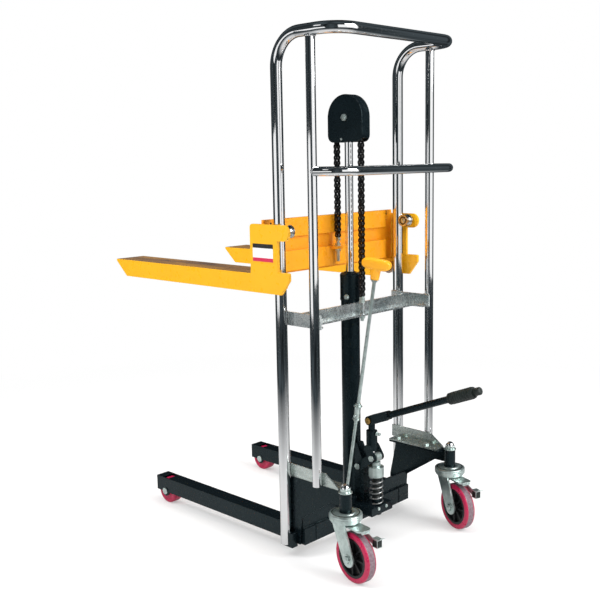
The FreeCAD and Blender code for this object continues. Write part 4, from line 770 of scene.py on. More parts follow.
@dataclass
class Studio:
    """Pale floor, soft lamps and the camera at the photo's place."""

    yaw: float = math.radians(134.12)
    pitch: float = math.radians(8.83)
    roll: float = math.radians(-1.07)
    eye: Triple = (1.99851, 1.75697, 1.13007)
    focal_px: float = 903.37
    image_px: float = 600.0
    sensor: float = 36.0
    clip_end: float = 100.0
    ambient: float = 0.5
    floor_r: float = 8.0
    floor_grey: Colour = (0.9, 0.9, 0.9)
    shaded_to: float = 0.7
    white_from: float = 2.6
    shaded_share: float = 0.35
    curtain_r: float = 4.2
    curtain_hole: float = 1.0
    curtain_foot: float = 0.004
    curtain_sill: float = 0.25
    panel_top: float = 1.3
    window_top: float = 3.3
    curtain_top: float = 4.6
    curtain_peak: float = 5.2
    curtain_tone: Colour = (0.72, 0.9, 1.0)
    curtain_step: int = 3
    window: tuple[int, int] = (57, 129)
    panel: tuple[int, int] = (321, 15)
    skylight: tuple[int, int] = (327, 357)

    def build(self) -> None:
        """Set up the camera, floor, curtain, world and lamps."""
        self.camera()
        self.floor()
        self.curtain()
        self.world()
        for lamp in LAMPS:
            lamp.hang()

    def camera(self) -> None:
        """Make the camera from the solved angles."""
        lens = bpy.data.cameras.new("camera")
        lens.sensor_width = self.sensor
        lens.lens = self.sensor * self.focal_px / self.image_px
        lens.clip_end = self.clip_end
        back = Vector((math.sin(self.yaw) * math.cos(self.pitch),
                       -math.cos(self.yaw) * math.cos(self.pitch), math.sin(self.pitch)))
        level = (-back).cross(Z).normalized()
        rise = level.cross(-back)
        right = level * math.cos(self.roll) + rise * math.sin(self.roll)
        up = rise * math.cos(self.roll) - level * math.sin(self.roll)
        turn = Matrix((right, up, back)).transposed().to_4x4()
        camera = bpy.data.objects.new("camera", lens)
        camera.matrix_world = Matrix.Translation(at(*self.eye)) @ turn
        bpy.context.scene.collection.objects.link(camera)
        bpy.context.scene.camera = camera

    def stage(self, name: str, mesh: bmesh.types.BMesh, graph: Graph) -> bpy.types.Object:
        """Add a piece of the studio.

        Args:
            name: Its name.
            mesh: Its shape.
            graph: Node tree of its material.

        Returns:
            The piece.
        """
        data = bpy.data.meshes.new(name)
        mesh.to_mesh(data)
        mesh.free()
        data.materials.append(graph.owner)
        piece = bpy.data.objects.new(name, data)
        bpy.context.scene.collection.objects.link(piece)
        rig.stage(piece)
        return piece

    def floor(self) -> None:
        """Make the round floor, white further off and shaded near the object."""
        mesh = bmesh.new()
        bmesh.ops.create_circle(mesh, cap_ends=True, segments=96, radius=self.floor_r)
        graph = Graph(bpy.data.materials.new("pale_floor"))
        far = graph.length(graph.add("TexCoord").outputs["Object"])
        reach = graph.span(far, self.shaded_to, self.white_from, self.shaded_share, 1.0)
        share = graph.maths("MULTIPLY", reach, self.shows_white(graph))
        matt = graph.add("BsdfDiffuse", {"Color": (*self.floor_grey, 1.0)})
        graph.cover(share, matt, graph.add("Emission", {"Color": WHITE, "Strength": 1.0}))
        self.stage("floor", mesh, graph)

    def shows_white(self, graph: Graph) -> Socket:
        """Mask of the rays that see the plain white background.

        Args:
            graph: Node tree to add it to.

        Returns:
            The mask, 1 for camera, glossy and transmission rays.
        """
        path = graph.add("LightPath")
        seen = graph.maths("MAXIMUM", path.outputs["Is Camera Ray"], path.outputs["Is Glossy Ray"])
        return graph.maths("MAXIMUM", seen, path.outputs["Is Transmission Ray"])

    def curtain(self) -> None:
        """Dark drum that only reflections see, open at a wide window, a low panel and a skylight."""
        heights = (self.curtain_foot, self.curtain_sill, self.panel_top, self.window_top, self.curtain_top)
        rows = [(0.0, self.curtain_foot), (self.curtain_hole, self.curtain_foot)]
        rows += [(self.curtain_r, z) for z in heights]
        rows.append((0.0, self.curtain_peak))
        mesh = bmesh.new()
        for low, high in zip(rows, rows[1:]):
            for start in range(0, 360, self.curtain_step):
                if self.open_at(start, (low[1] + high[1]) / 2):
                    continue
                end = start + self.curtain_step
                corners = [Vector((radius * math.cos(math.radians(turn)),
                                   radius * math.sin(math.radians(turn)), z))
                           for (radius, z), turn in ((low, start), (low, end), (high, end), (high, start))]
                points = [corner for i, corner in enumerate(corners) if corner != corners[i - 1]]
                mesh.faces.new([mesh.verts.new(point) for point in points])
        piece = self.stage("curtain", mesh, self.curtain_cloth())
        for kind in ("camera", "diffuse", "transmission", "volume_scatter", "shadow"):
            setattr(piece, "visible_" + kind, False)

    def curtain_cloth(self) -> Graph:
        """Dark folded cloth that thins out on the floor near the object.

        Returns:
            Node tree of its material.
        """
        graph = Graph(bpy.data.materials.new("dark_curtain"))
        where = graph.add("TexCoord").outputs["Object"]
        flat = graph.add("VectorMath", {0: where, 1: (1.0, 1.0, 0.0)}, operation="MULTIPLY")
        near = graph.span(graph.length(flat.outputs[0]), 0.9, 2.1, 0.4, 1.0)
        hung = graph.span(graph.height(where), 0.1, 0.2)
        fold = graph.span(graph.noise(0.6, 2.0, (1.0, 1.0, 0.1)), *TONE_RANGE, 0.006, 0.085)
        dark = graph.add("Emission", {"Color": (*self.curtain_tone, 1.0), "Strength": fold})
        graph.cover(graph.maths("MAXIMUM", near, hung), graph.add("BsdfTransparent"), dark)
        return graph

    def open_at(self, degrees: float, z: float) -> bool:
        """Whether the curtain is open.

        Args:
            degrees: Bearing from the middle of the floor.
            z: Height.

        Returns:
            True inside the window, the panel and the skylight.
        """
        if self.window[0] <= degrees < self.window[1]:
            return self.curtain_sill < z < self.window_top
        if self.skylight[0] <= degrees < self.skylight[1] and self.window_top < z < self.curtain_top:
            return True
        beside = degrees >= self.panel[0] or degrees < self.panel[1]
        return beside and self.curtain_foot < z < self.panel_top

    def world(self) -> None:
        """Even soft light, white where the background shows."""
        world = bpy.data.worlds.new("studio")
        bpy.context.scene.world = world
        graph = Graph(world)
        level = graph.span(self.shows_white(graph), 0.0, 1.0, self.ambient, 1.0)
        light = graph.add("Background", {"Color": WHITE, "Strength": level})
        graph.add("OutputWorld", {"Surface": light.outputs[0]})
        bpy.context.scene.view_settings.view_transform = "Standard"


def circle(centre: Vector, axis: Vector, radius: float, count: int, share: float = 1.0,
           normal: Vector | None = None) -> Path:
    """Points on a circle or part of one.

    Args:
        centre: Its middle.
        axis: Its axis.
        radius: Its radius.
        count: Points on it.
        share: Part of the full turn.
        normal: Direction of its first point.

    Returns:
        The points.
    """
    along = axis.normalized()
    first = along.orthogonal().normalized() if normal is None else normal
    side = along.cross(first)
    turns = [2 * math.pi * share * k / count for k in range(count)]
    return [centre + (first * math.cos(turn) + side * math.sin(turn)) * radius for turn in turns]


def quarter(steps: int) -> list[tuple[float, float]]:
    """Cosine and sine at even steps through a quarter turn, both ends included."""
    turns = [math.pi / 2 * k / steps for k in range(steps + 1)]
    return [(math.cos(turn), math.sin(turn)) for turn in turns]


def arch(y: float, z: float, radius: float, steps: int) -> Path:
    """Half circle over a point in the plane of the chain, from its front to its rear.

    Args:
        y: Distance of its middle behind the front tubes.
        z: Height of its middle.
        radius: Its radius.
        steps: Steps along it.

    Returns:
        The points.
    """
    turns = [math.pi * k / steps for k in range(steps + 1)]
    return [at(0, y - radius * math.cos(turn), z + radius * math.sin(turn)) for turn in turns]


def bend(points: Path, radii: Sequence[float], step: float = 5.0) -> Path:
    """Path with a round bend at each inner point.

    Args:
        points: Corners of the path.
        radii: Bend radius at each inner corner.
        step: Degrees between the points of a bend.

    Returns:
        The points of the bent path.
    """
    path = [points[0]]
    for i, radius in enumerate(radii, 1):
        corner = points[i]
        back = (points[i - 1] - corner).normalized()
        ahead = (points[i + 1] - corner).normalized()
        half = back.angle(ahead) / 2
        centre = corner + (back + ahead).normalized() * (radius / math.sin(half))
        arm = corner + back * (radius / math.tan(half)) - centre
        turn = math.pi - 2 * half
        axis = ahead.cross(back)
        count = max(2, math.ceil(math.degrees(turn) / step))
        path += [centre + Matrix.Rotation(turn * k / count, 3, axis) @ arm for k in range(count + 1)]
    path.append(points[-1])
    return [path[0]] + [point for last, point in zip(path, path[1:]) if (point - last).length > 1e-5]


class Shaper:
    """Mesh being built from swept, turned and cut shapes."""

    ripple: float = 0.14

    def __init__(self) -> None:
        """Start an empty mesh."""
        self.mesh = bmesh.new()
        self.paint = 0

    def skin(self, rings: list[Path], closed: bool = False, caps: bool = True) -> None:
        """Join rings of points into a surface.

        Args:
            rings: Rings of equal length, or of one point where the surface closes.
            closed: Whether the last ring joins the first.
            caps: Whether open ends get a face.
        """
        grown = [[self.mesh.verts.new(point) for point in ring] for ring in rings]
        pairs = list(zip(grown, grown[1:]))
        if closed:
            pairs.append((grown[-1], grown[0]))
        faces = []
        for low, high in pairs:
            count = max(len(low), len(high))
            for i in range(count):
                j = (i + 1) % count
                corners = (low[i % len(low)], low[j % len(low)], high[j % len(high)], high[i % len(high)])
                faces.append(self.mesh.faces.new(list(dict.fromkeys(corners))))
        if caps and not closed:
            faces += [self.mesh.faces.new(ring) for ring in (grown[0], grown[-1]) if len(ring) > 2]
        for face in faces:
            face.material_index = self.paint

    def sweep(self, path: Path, radius: float | Sequence[float], sides: int) -> None:
        """Round bar along a path.

        Args:
            path: Points of its centre line.
            radius: One radius, or one for each point.
            sides: Points round it.
        """
        radii = [radius] * len(path) if isinstance(radius, float) else radius
        normal = None
        rings = []
        for i, point in enumerate(path):
            way = (path[min(i + 1, len(path) - 1)] - path[max(i - 1, 0)]).normalized()
            normal = way.orthogonal() if normal is None else normal - way * normal.dot(way)
            normal.normalize()
            rings.append(circle(point, way, radii[i], sides, normal=normal))
        self.skin(rings)

    def lathe(self, profile: Profile, centre: Vector, axis: Vector, sides: int, closed: bool = False,
              caps: bool = True) -> None:
        """Turned piece.

        Args:
            profile: Distance along the axis and radius of each point.
            centre: Where the axis distance is nought.
            axis: Direction of the axis.
            sides: Points round it.
            closed: Whether the profile is a loop, as for a ring.
            caps: Whether open ends get a face.
        """
        along = axis.normalized()
        rings = []
        for reach, radius in profile:
            middle = centre + along * reach
            rings.append([middle] if radius < TINY else circle(middle, along, radius, sides))
        self.skin(rings, closed, caps)

    def collar(self, low: float, high: float, inner: float, outer: float, centre: Vector, axis: Vector,
               sides: int) -> None:
        """Plain ring round an axis.

        Args:
            low: Where it starts along the axis.
            high: Where it ends.
            inner: Radius of its hole.
            outer: Its outer radius.
            centre: Where the axis distance is nought.
            axis: Direction of the axis.
            sides: Points round it.
        """
        self.lathe([(low, inner), (low, outer), (high, outer), (high, inner)], centre, axis, sides, True)

    def slab(self, outline: Path, depth: Vector, soften: float = 0.0) -> None:
        """Plate of one thickness.

        Args:
            outline: Points of its outline, in order.
            depth: Thickness and its direction.
            soften: Width of the rounding along every edge.
        """
        known = set(self.mesh.edges)
        self.skin([outline, [point + depth for point in outline]])
        if soften:
            edges = [edge for edge in self.mesh.edges if edge not in known]
            made = bmesh.ops.bevel(self.mesh, geom=edges, offset=soften, segments=2, affect="EDGES",
                                   profile=0.5, clamp_overlap=True)
            for face in made["faces"]:
                face.material_index = self.paint

    def block(self, low: Vector, high: Vector, soften: float) -> None:
        """Rectangular block with rounded edges.

        Args:
            low: Lowest corner.
            high: Highest corner.
            soften: Width of the rounding.
        """
        corners = ((low.x, low.y), (high.x, low.y), (high.x, high.y), (low.x, high.y))
        self.slab([Vector((x, y, low.z)) for x, y in corners], Z * (high.z - low.z), soften)

    def bolt(self, seat: Vector, axis: Vector, radius: float, height: float) -> None:
        """Hexagon head on a washer, with a chamfered top.

        Args:
            seat: Middle of the washer's lower face.
            axis: Direction that the head faces.
            radius: Corner radius of the hexagon.
            height: Height of the head with its washer.
        """
        thin = height * 0.2
        wide = radius * 1.3
        self.lathe([(0, 0), (0, wide), (thin * 0.8, wide), (thin, wide * 0.97), (thin, 0)], seat, axis, 24)
        head = ((thin, 0.97), (thin * 1.2, 1.0), (height * 0.86, 1.0), (height, 0.84))
        along = axis.normalized()
        self.skin([circle(seat + along * reach, along, radius * size, 6) for reach, size in head])

    def socket_screw(self, seat: Vector, axis: Vector, radius: float, height: float) -> None:
        """Round cap screw with a sunk drive.

        Args:
            seat: Middle of its seat.
            axis: Direction that it faces.
            radius: Radius of the head.
            height: Height of the head.
        """
        lip = radius * 0.12
        drive = radius * 0.52
        profile = [(0, 0), (0, radius), (height - lip, radius), (height, radius - lip),
                   (height, drive + lip), (height - lip, drive), (height * 0.45, drive), (height * 0.4, 0)]
        self.lathe(profile, seat, axis, 24)

    def bead(self, path: Path, radius: float, pitch: float = 0.004) -> None:
        """Weld bead with ripples.

        Args:
            path: Line that it follows.
            radius: Its radius.
            pitch: Distance between ripples.
        """
        fine = [path[0]]
        for start, end in zip(path, path[1:]):
            steps = max(1, round((end - start).length / (pitch / 4)))
            fine += [start.lerp(end, (k + 1) / steps) for k in range(steps)]
        waves = [self.ripple * (1 - math.cos(math.pi * i / 2)) for i in range(len(fine))]
        self.sweep(fine, [radius * (1 - wave) for wave in waves], 10)

    def done(self, name: str, finishes: Sequence[Finish], body: str, stands_for: Sequence[str] = (),
             slot: str = "", sharp: float = 34.0, rides: bool = True) -> bpy.types.Object:
        """Turn the mesh into a piece of the object.

        Args:
            name: Name of the piece.
            finishes: Finishes by material index.
            body: Body that it moves with.
            stands_for: CAD nodes that it replaces.
            slot: Material slot of the record.
            sharp: Angle in degrees above which an edge stays sharp.
            rides: Whether it is fixed to the body, and not left free to be bent later.

        Returns:
            The piece.
        """
        bmesh.ops.recalc_face_normals(self.mesh, faces=self.mesh.faces[:])
        data = bpy.data.meshes.new(name)
        self.mesh.to_mesh(data)
        self.mesh.free()
        for finish in finishes:
            data.materials.append(finish.material())
        data.shade_smooth()
        data.set_sharp_from_angle(angle=math.radians(sharp))
        piece = bpy.data.objects.new(name, data)
        bpy.context.scene.collection.objects.link(piece)
        if rides:
            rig.ride(piece, body)
        if stands_for:
            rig.replaces(piece, *stands_for)
        if slot:
            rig.slot(piece, slot)
        LOG.info("%s: %d faces", name, len(data.polygons))
        return piece


@dataclass
class Mast:
    """Chromed tubes of the mast, with their welds."""

    half: float = 0.262
    tube_r: float = 0.016
    stay_x: float = 0.259
    stay_y: float = 0.123
    stay_r: float = 0.013
    handle_r: float = 0.0125
    foot_z: float = 0.038
    stay_foot_z: float = 0.238
    stay_top_z: float = 1.4494
    hoop_z: float = 1.459
    hoop_rise: float = 0.086
    hoop_corner: float = 0.07
    hoop_rear: float = 0.214
    handle_z: float = 1.099
    handle_rear: float = 0.222
    handle_corner: float = 0.06
    beam_top: float = 0.714
    beam_end_x: float = 0.2445
    beam_weld_x: float = 0.2453
    beam_weld_z: Pair = (0.678, 0.713)
    beam_weld_in: float = 0.004
    beam_weld_r: float = 0.00286
    stay_weld_z: float = 1.44348
    stay_weld_out: float = 0.0136
    handle_weld_y: float = 0.1334
    handle_weld_out: float = 0.0129
    handle_weld_r: float = 0.00176
    weld_r: float = 0.0022
    weld_pitch: float = 0.003
    weld_turn: float = 1.03

    def build(self) -> None:
        """Make the tubes and welds."""
        self.hoop()
        self.stays()
        self.handle()
        self.welds()

    def hoop(self) -> None:
        """One bent tube from foot to foot."""
        shape = Shaper()
        left = [at(self.half, 0, self.foot_z), at(self.half, 0, self.hoop_z),
                at(self.half, self.hoop_rear, self.hoop_z)]
        right = [Vector((-point.x, point.y, point.z)) for point in reversed(left)]
        radii = [self.hoop_rise, self.hoop_corner, self.hoop_corner, self.hoop_rise]
        shape.sweep(bend(left + right, radii), self.tube_r, 48)
        shape.done("mast_hoop", [CHROME], "frame", ["mast_upright_left", "mast_upright_right", "push_hoop"],
                   "chrome_tube")

    def stays(self) -> None:
        """Rear stays from the brackets to the hoop."""
        for side in Side:
            shape = Shaper()
            foot = side.at(self.stay_x, self.stay_y, self.stay_foot_z)
            top = side.at(self.stay_x, self.stay_y, self.stay_top_z)
            shape.sweep([foot, top], self.stay_r, 40)
            shape.done("stay_" + side.tag, [CHROME], "frame", ["mast_stay_" + side.tag], "chrome_tube")

    def handle(self) -> None:
        """Middle handle between the stays."""
        shape = Shaper()
        x = self.stay_x
        points = [at(x, self.stay_y, self.handle_z), at(x, self.handle_rear, self.handle_z),
                  at(-x, self.handle_rear, self.handle_z), at(-x, self.stay_y, self.handle_z)]
        shape.sweep(bend(points, [self.handle_corner, self.handle_corner]), self.handle_r, 40)
        shape.done("handle_tube", [CHROME], "frame", ["mid_handle"], "chrome_tube")

    def welds(self) -> None:
        """Beads where tubes meet tubes, and where the beam's end plates meet the tubes."""
        plated = Shaper()
        beam = Shaper()
        for side in Side:
            top = side.at(self.stay_x, self.stay_y, self.stay_weld_z)
            line = circle(top, Z, self.stay_weld_out, 48, self.weld_turn)
            plated.bead(line, self.weld_r, self.weld_pitch)
            butt = side.at(self.stay_x, self.handle_weld_y, self.handle_z)
            line = circle(butt, Y, self.handle_weld_out, 48, self.weld_turn)
            plated.bead(line, self.handle_weld_r, self.weld_pitch)
            for y, radius in ((0.0, self.tube_r), (self.stay_y, self.stay_r)):
                spread = math.sqrt(radius ** 2 - (radius - self.beam_weld_in) ** 2)
                for edge in (y - spread, y + spread):
                    line = [side.at(self.beam_weld_x, edge, z) for z in self.beam_weld_z]
                    beam.bead(line, self.beam_weld_r, self.weld_pitch)
                line = [side.at(self.beam_end_x, edge, self.beam_top) for edge in (y - spread, y + spread)]
                beam.bead(line, self.weld_r, self.weld_pitch)
        plated.done("tube_welds", [CHROME], "frame", slot="chrome_tube")
        beam.done("beam_welds", [DARK_ZINC], "frame", slot="zinc_plate")


@dataclass
class LiftChain:
    """Roller chain in its three runs, with inner and outer links on pins."""

    pitch_r: float = 0.045711
    teeth: int = 18
    axis_y: float = 0.026
    axis_z: float = 1.247
    front_z: float = 0.90758
    rear_z: float = 0.73758
    front_links: int = 21
    rear_links: int = 32
    plate_r: float = 0.0071
    plate_arc: int = 116
    waist: float = 0.0047
    plate_t: float = 0.0014
    plate_gap: float = 0.0001
    inner_x: float = 0.0048
    roller_r: float = 0.0051
    pin_r: float = 0.0025
    pin_tip: float = 0.00175
    pin_end: float = 0.0006
    rear_overrun: float = 0.055

    def build(self) -> None:
        """Make the strands and the links over the sprocket."""
        front = self.strand(self.axis_y - self.pitch_r, self.front_z, self.front_links)
        piece = self.run(front, "chain_front_links", "carriage", "chain_front", False)
        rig.blend(piece, "carriage", "ram", start=front[0], end=front[-1])
        rear = self.strand(self.axis_y + self.pitch_r, self.rear_z, self.rear_links)
        piece = self.run(rear, "chain_rear_links", "frame", "chain_rear", False)
        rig.blend(piece, "frame", "ram", start=rear[0], end=rear[-1] + Z * self.rear_overrun)
        wrap = arch(self.axis_y, self.axis_z, self.pitch_r, self.teeth // 2)
        self.run(wrap, "chain_wrap_links", "ram", "chain_wrap", True)

    def strand(self, y: float, low: float, links: int) -> Path:
        """Pins of a straight strand, from its stud up to the sprocket.

        Args:
            y: Distance behind the front tubes.
            low: Height of its lowest pin.
            links: Number of links.

        Returns:
            The pin centres.
        """
        return [at(0, y, low + (self.axis_z - low) * i / links) for i in range(links + 1)]

    def run(self, pins: Path, name: str, body: str, node: str, rides: bool) -> bpy.types.Object:
        """Links of one run.

        Args:
            pins: Pin centres.
            name: Name of the piece.
            body: Body that it moves with.
            node: CAD node that it replaces.
            rides: Whether it is fixed to the body.

        Returns:
            The piece.
        """
        shape = Shaper()
        for i, (low, high) in enumerate(zip(pins, pins[1:])):
            near = self.inner_x + (i % 2) * (self.plate_t + self.plate_gap)
            outline = self.plate(low, high)
            for start in (near, -near - self.plate_t):
                shape.slab([point + X * start for point in outline], X * self.plate_t)
        reach = self.inner_x + 2 * self.plate_t + self.pin_end
        # Rollers and pins take the steel that is brightened as a painted glint.
        shape.paint = 1
        roller = [(-self.inner_x, 0), (-self.inner_x, self.roller_r)]
        rivet = [(-reach, 0), (-reach, self.pin_tip), (-reach + self.pin_end, self.pin_r)]
        for pin in pins:
            for half, sides in ((roller, 18), (rivet, 12)):
                shape.lathe(half + [(-x, radius) for x, radius in reversed(half)], pin, X, sides)
        return shape.done(name, [CHAIN, CHAIN_ROLL_GLINT], body, [node], "chain_steel", rides=rides)

    def plate(self, low: Vector, high: Vector) -> Path:
        """Outline of a link plate, waisted between two pins.

        Args:
            low: First pin.
            high: Second pin.

        Returns:
            The outline.
        """
        run = (high - low).normalized()
        out = X.cross(run)
        middle = (low + high) / 2
        points = []
        for pin, sign in ((high, 1.0), (low, -1.0)):
            for degrees in range(-self.plate_arc, self.plate_arc + 1, self.plate_arc // 4):
                turn = math.radians(degrees)
                points.append(pin + (run * math.cos(turn) + out * math.sin(turn)) * (sign * self.plate_r))
            points.append(middle + out * (sign * self.waist))
        return points


@dataclass
class Caster:
    """Dressing of one braked swivel caster."""

    side: Side
    turn: float
    stem_x: float = 0.245
    stem_y: float = 0.214
    trail: float = 0.042
    wheel_r: float = 0.07
    width: float = 0.032
    tyre_t: float = 0.015
    tyre_lip: float = 0.0012
    tyre_flank: float = 0.057
    shoulder: float = 0.0065
    crown: float = 0.0004
    race_z: float = 0.1754
    race_profile: Profile = (
        (0.0, 0.0449), (0.0018, 0.0459), (0.0052, 0.0457), (0.0068, 0.0446), (0.0085, 0.0405),
        (0.0085, 0.036), (0.0072, 0.034), (0.0072, 0.0285), (0.0098, 0.027), (0.0108, 0.0245),
        (0.0108, 0.0205), (0.0095, 0.0182), (0.0, 0.0182))
    seal_profile: Profile = ((-0.0012, 0.0), (-0.0012, 0.0455), (0.0006, 0.0455), (0.0006, 0.0))
    seal_low: float = 0.0062
    seal_rings: tuple[Triple, ...] = ((0.0284, 0.0341, 0.0077), (0.0366, 0.0392, 0.0088))
    flange_z: float = 0.238
    washer: Profile = ((0, 0), (0, 0.0168), (0.0016, 0.017), (0.0024, 0.0162), (0.0024, 0))
    nut_z: float = 0.2385
    nut: Pair = (0.0147, 0.0138)
    dome_z: float = 0.0128
    dome_h: float = 0.0122
    dome_r: float = 0.0124
    dome_seat: float = 0.0126
    boss_x: float = 0.021
    boss_ring: Profile = (
        (0.0001, 0.0104), (0.0001, 0.0142), (0.0007, 0.0146), (0.0012, 0.0142), (0.0012, 0.0104))
    fork_x: float = 0.029
    fork_washer: Profile = (
        (0.0001, 0.0105), (0.0001, 0.0145), (0.0012, 0.0145), (0.0016, 0.014), (0.0016, 0.0105))
    nut_x: float = 0.036
    axle_end: Profile = ((-0.001, 0), (-0.001, 0.0056), (0.001, 0.0056), (0.0015, 0.0048), (0.0015, 0))
    pad_x: float = -0.0276
    pad_y: float = 0.098
    pad_z: float = 0.121
    pad_half: Triple = (0.0089, 0.0104, 0.0111)
    pad_round: float = 0.0025
    rib: Triple = (0.014, 0.0016, 0.0026)
    rib_pitch: float = 0.0055
    rib_low: float = -0.0075
    rib_sunk: float = 0.0006

    def build(self) -> None:
        """Make the wheel, race, nut and brake details."""
        self.tyre()
        self.bearing()
        self.race()
        self.dome_nut()
        self.pad()

    def stem(self, z: float) -> Vector:
        """Point on the swivel axis."""
        return self.side.at(self.stem_x, self.stem_y, z)

    def hub(self) -> Vector:
        """Middle of the wheel."""
        return self.side.at(self.stem_x, self.stem_y + self.trail, self.wheel_r)

    def swing(self, shape: Shaper) -> Shaper:
        """Turn a shape about the stem.

        Args:
            shape: The shape, made with the wheel straight behind the stem.

        Returns:
            The same shape, as the caster stands.
        """
        bmesh.ops.rotate(shape.mesh, cent=self.stem(0.0), matrix=Matrix.Rotation(self.turn, 3, "Z"),
                         verts=shape.mesh.verts[:])
        return shape

    def tyre(self) -> None:
        """Rounded red tyre with a scuffed tread."""
        shape = Shaper()
        half = self.width / 2
        inner = self.wheel_r - self.tyre_t
        outer = self.wheel_r - self.crown
        edge = half - self.shoulder
        flank = [(-half + self.tyre_lip, inner), (-half, self.tyre_flank)]
        flank += [(-half + self.shoulder * (1 - c), outer - self.shoulder * (1 - s)) for c, s in quarter(5)]
        bore = [(-half + self.tyre_lip, inner), (half - self.tyre_lip, inner)]
        tread = [(-edge, outer), (-edge * 0.5, self.wheel_r), (edge * 0.5, self.wheel_r), (edge, outer)]
        for profile in (flank, [(-reach, radius) for reach, radius in reversed(flank)], bore):
            shape.lathe(profile, self.hub(), X, 96, caps=False)
        shape.paint = 1
        shape.lathe(tread, self.hub(), X, 96, caps=False)
        bmesh.ops.remove_doubles(shape.mesh, verts=shape.mesh.verts[:], dist=TINY)
        self.swing(shape).done("tyre_" + self.side.tag, [RED, TREAD], "caster_wheel_" + self.side.tag,
                               ["caster_tyre_" + self.side.tag], "red_polyurethane")

    def bearing(self) -> None:
        """Steel bearing rings on the hub, and the washers and axle ends outside the fork."""
        rings = Shaper()
        ends = Shaper()
        for way in (X, -X):
            rings.lathe(self.boss_ring, self.hub() + way * self.boss_x, way, 40, closed=True)
            ends.lathe(self.fork_washer, self.hub() + way * self.fork_x, way, 40, closed=True)
            ends.lathe(self.axle_end, self.hub() + way * self.nut_x, way, 24)
        self.swing(rings).done("hub_rings_" + self.side.tag, [BEARING], "caster_wheel_" + self.side.tag,
                               slot="roller_steel")
        self.swing(ends).done("axle_ends_" + self.side.tag, [ZINC], "caster_" + self.side.tag,
                              slot="zinc_plate")

    def race(self) -> None:
        """Dished upper race with its inner ring, and a thin dark disc with dark rings set in the race's grooves."""
        centre = self.stem(self.race_z)
        shape = Shaper()
        shape.lathe(self.race_profile, centre, Z, 72, closed=True)
        shape.done("race_" + self.side.tag, [ZINC], "frame", slot="zinc_plate")
        # A thin dark disc and dark rings lie low in the race's grooves, so that the grooves look dark.
        dark_rings_shape = Shaper()
        dark_rings_shape.lathe(self.seal_profile, centre, Z, 64)
        for near, far, rise in self.seal_rings:
            dark_rings_shape.collar(self.seal_low, rise, near, far, centre, Z, 64)
        dark_rings_shape.done("race_seal_" + self.side.tag, [RUBBER], "frame", slot="black_rubber")

    def dome_nut(self) -> None:
        """Domed nut, plated bright, on its washer."""
        shape = Shaper()
        shape.lathe(self.washer, self.stem(self.flange_z), Z, 40)
        shape.bolt(self.stem(self.nut_z), Z, *self.nut)
        shape.paint = 1
        dome = [(self.dome_z, 0.0), (self.dome_z, self.dome_seat)]
        dome += [(self.dome_z + self.dome_h * s, self.dome_r * c) for c, s in quarter(8)[1:]]
        shape.lathe(dome, self.stem(self.flange_z), Z, 40)
        shape.done("dome_nut_" + self.side.tag, [ZINC, CHROME], "frame", slot="zinc_plate")

    def pad(self) -> None:
        """Ribbed black foot pad under the brake's pedal."""
        shape = Shaper()
        middle = self.stem(self.pad_z) + Vector((self.pad_x, self.pad_y, 0.0))
        half = Vector(self.pad_half)
        shape.block(middle - half, middle + half, self.pad_round)
        rib = Vector(self.rib)
        for k in range(3):
            low = middle + Vector((-rib.x / 2, half.y - self.rib_sunk, self.rib_low + self.rib_pitch * k))
            shape.block(low, low + rib, self.rib_sunk)
        self.swing(shape).done("brake_pad_" + self.side.tag, [RUBBER], "caster_brake_" + self.side.tag,
                               slot="black_rubber")


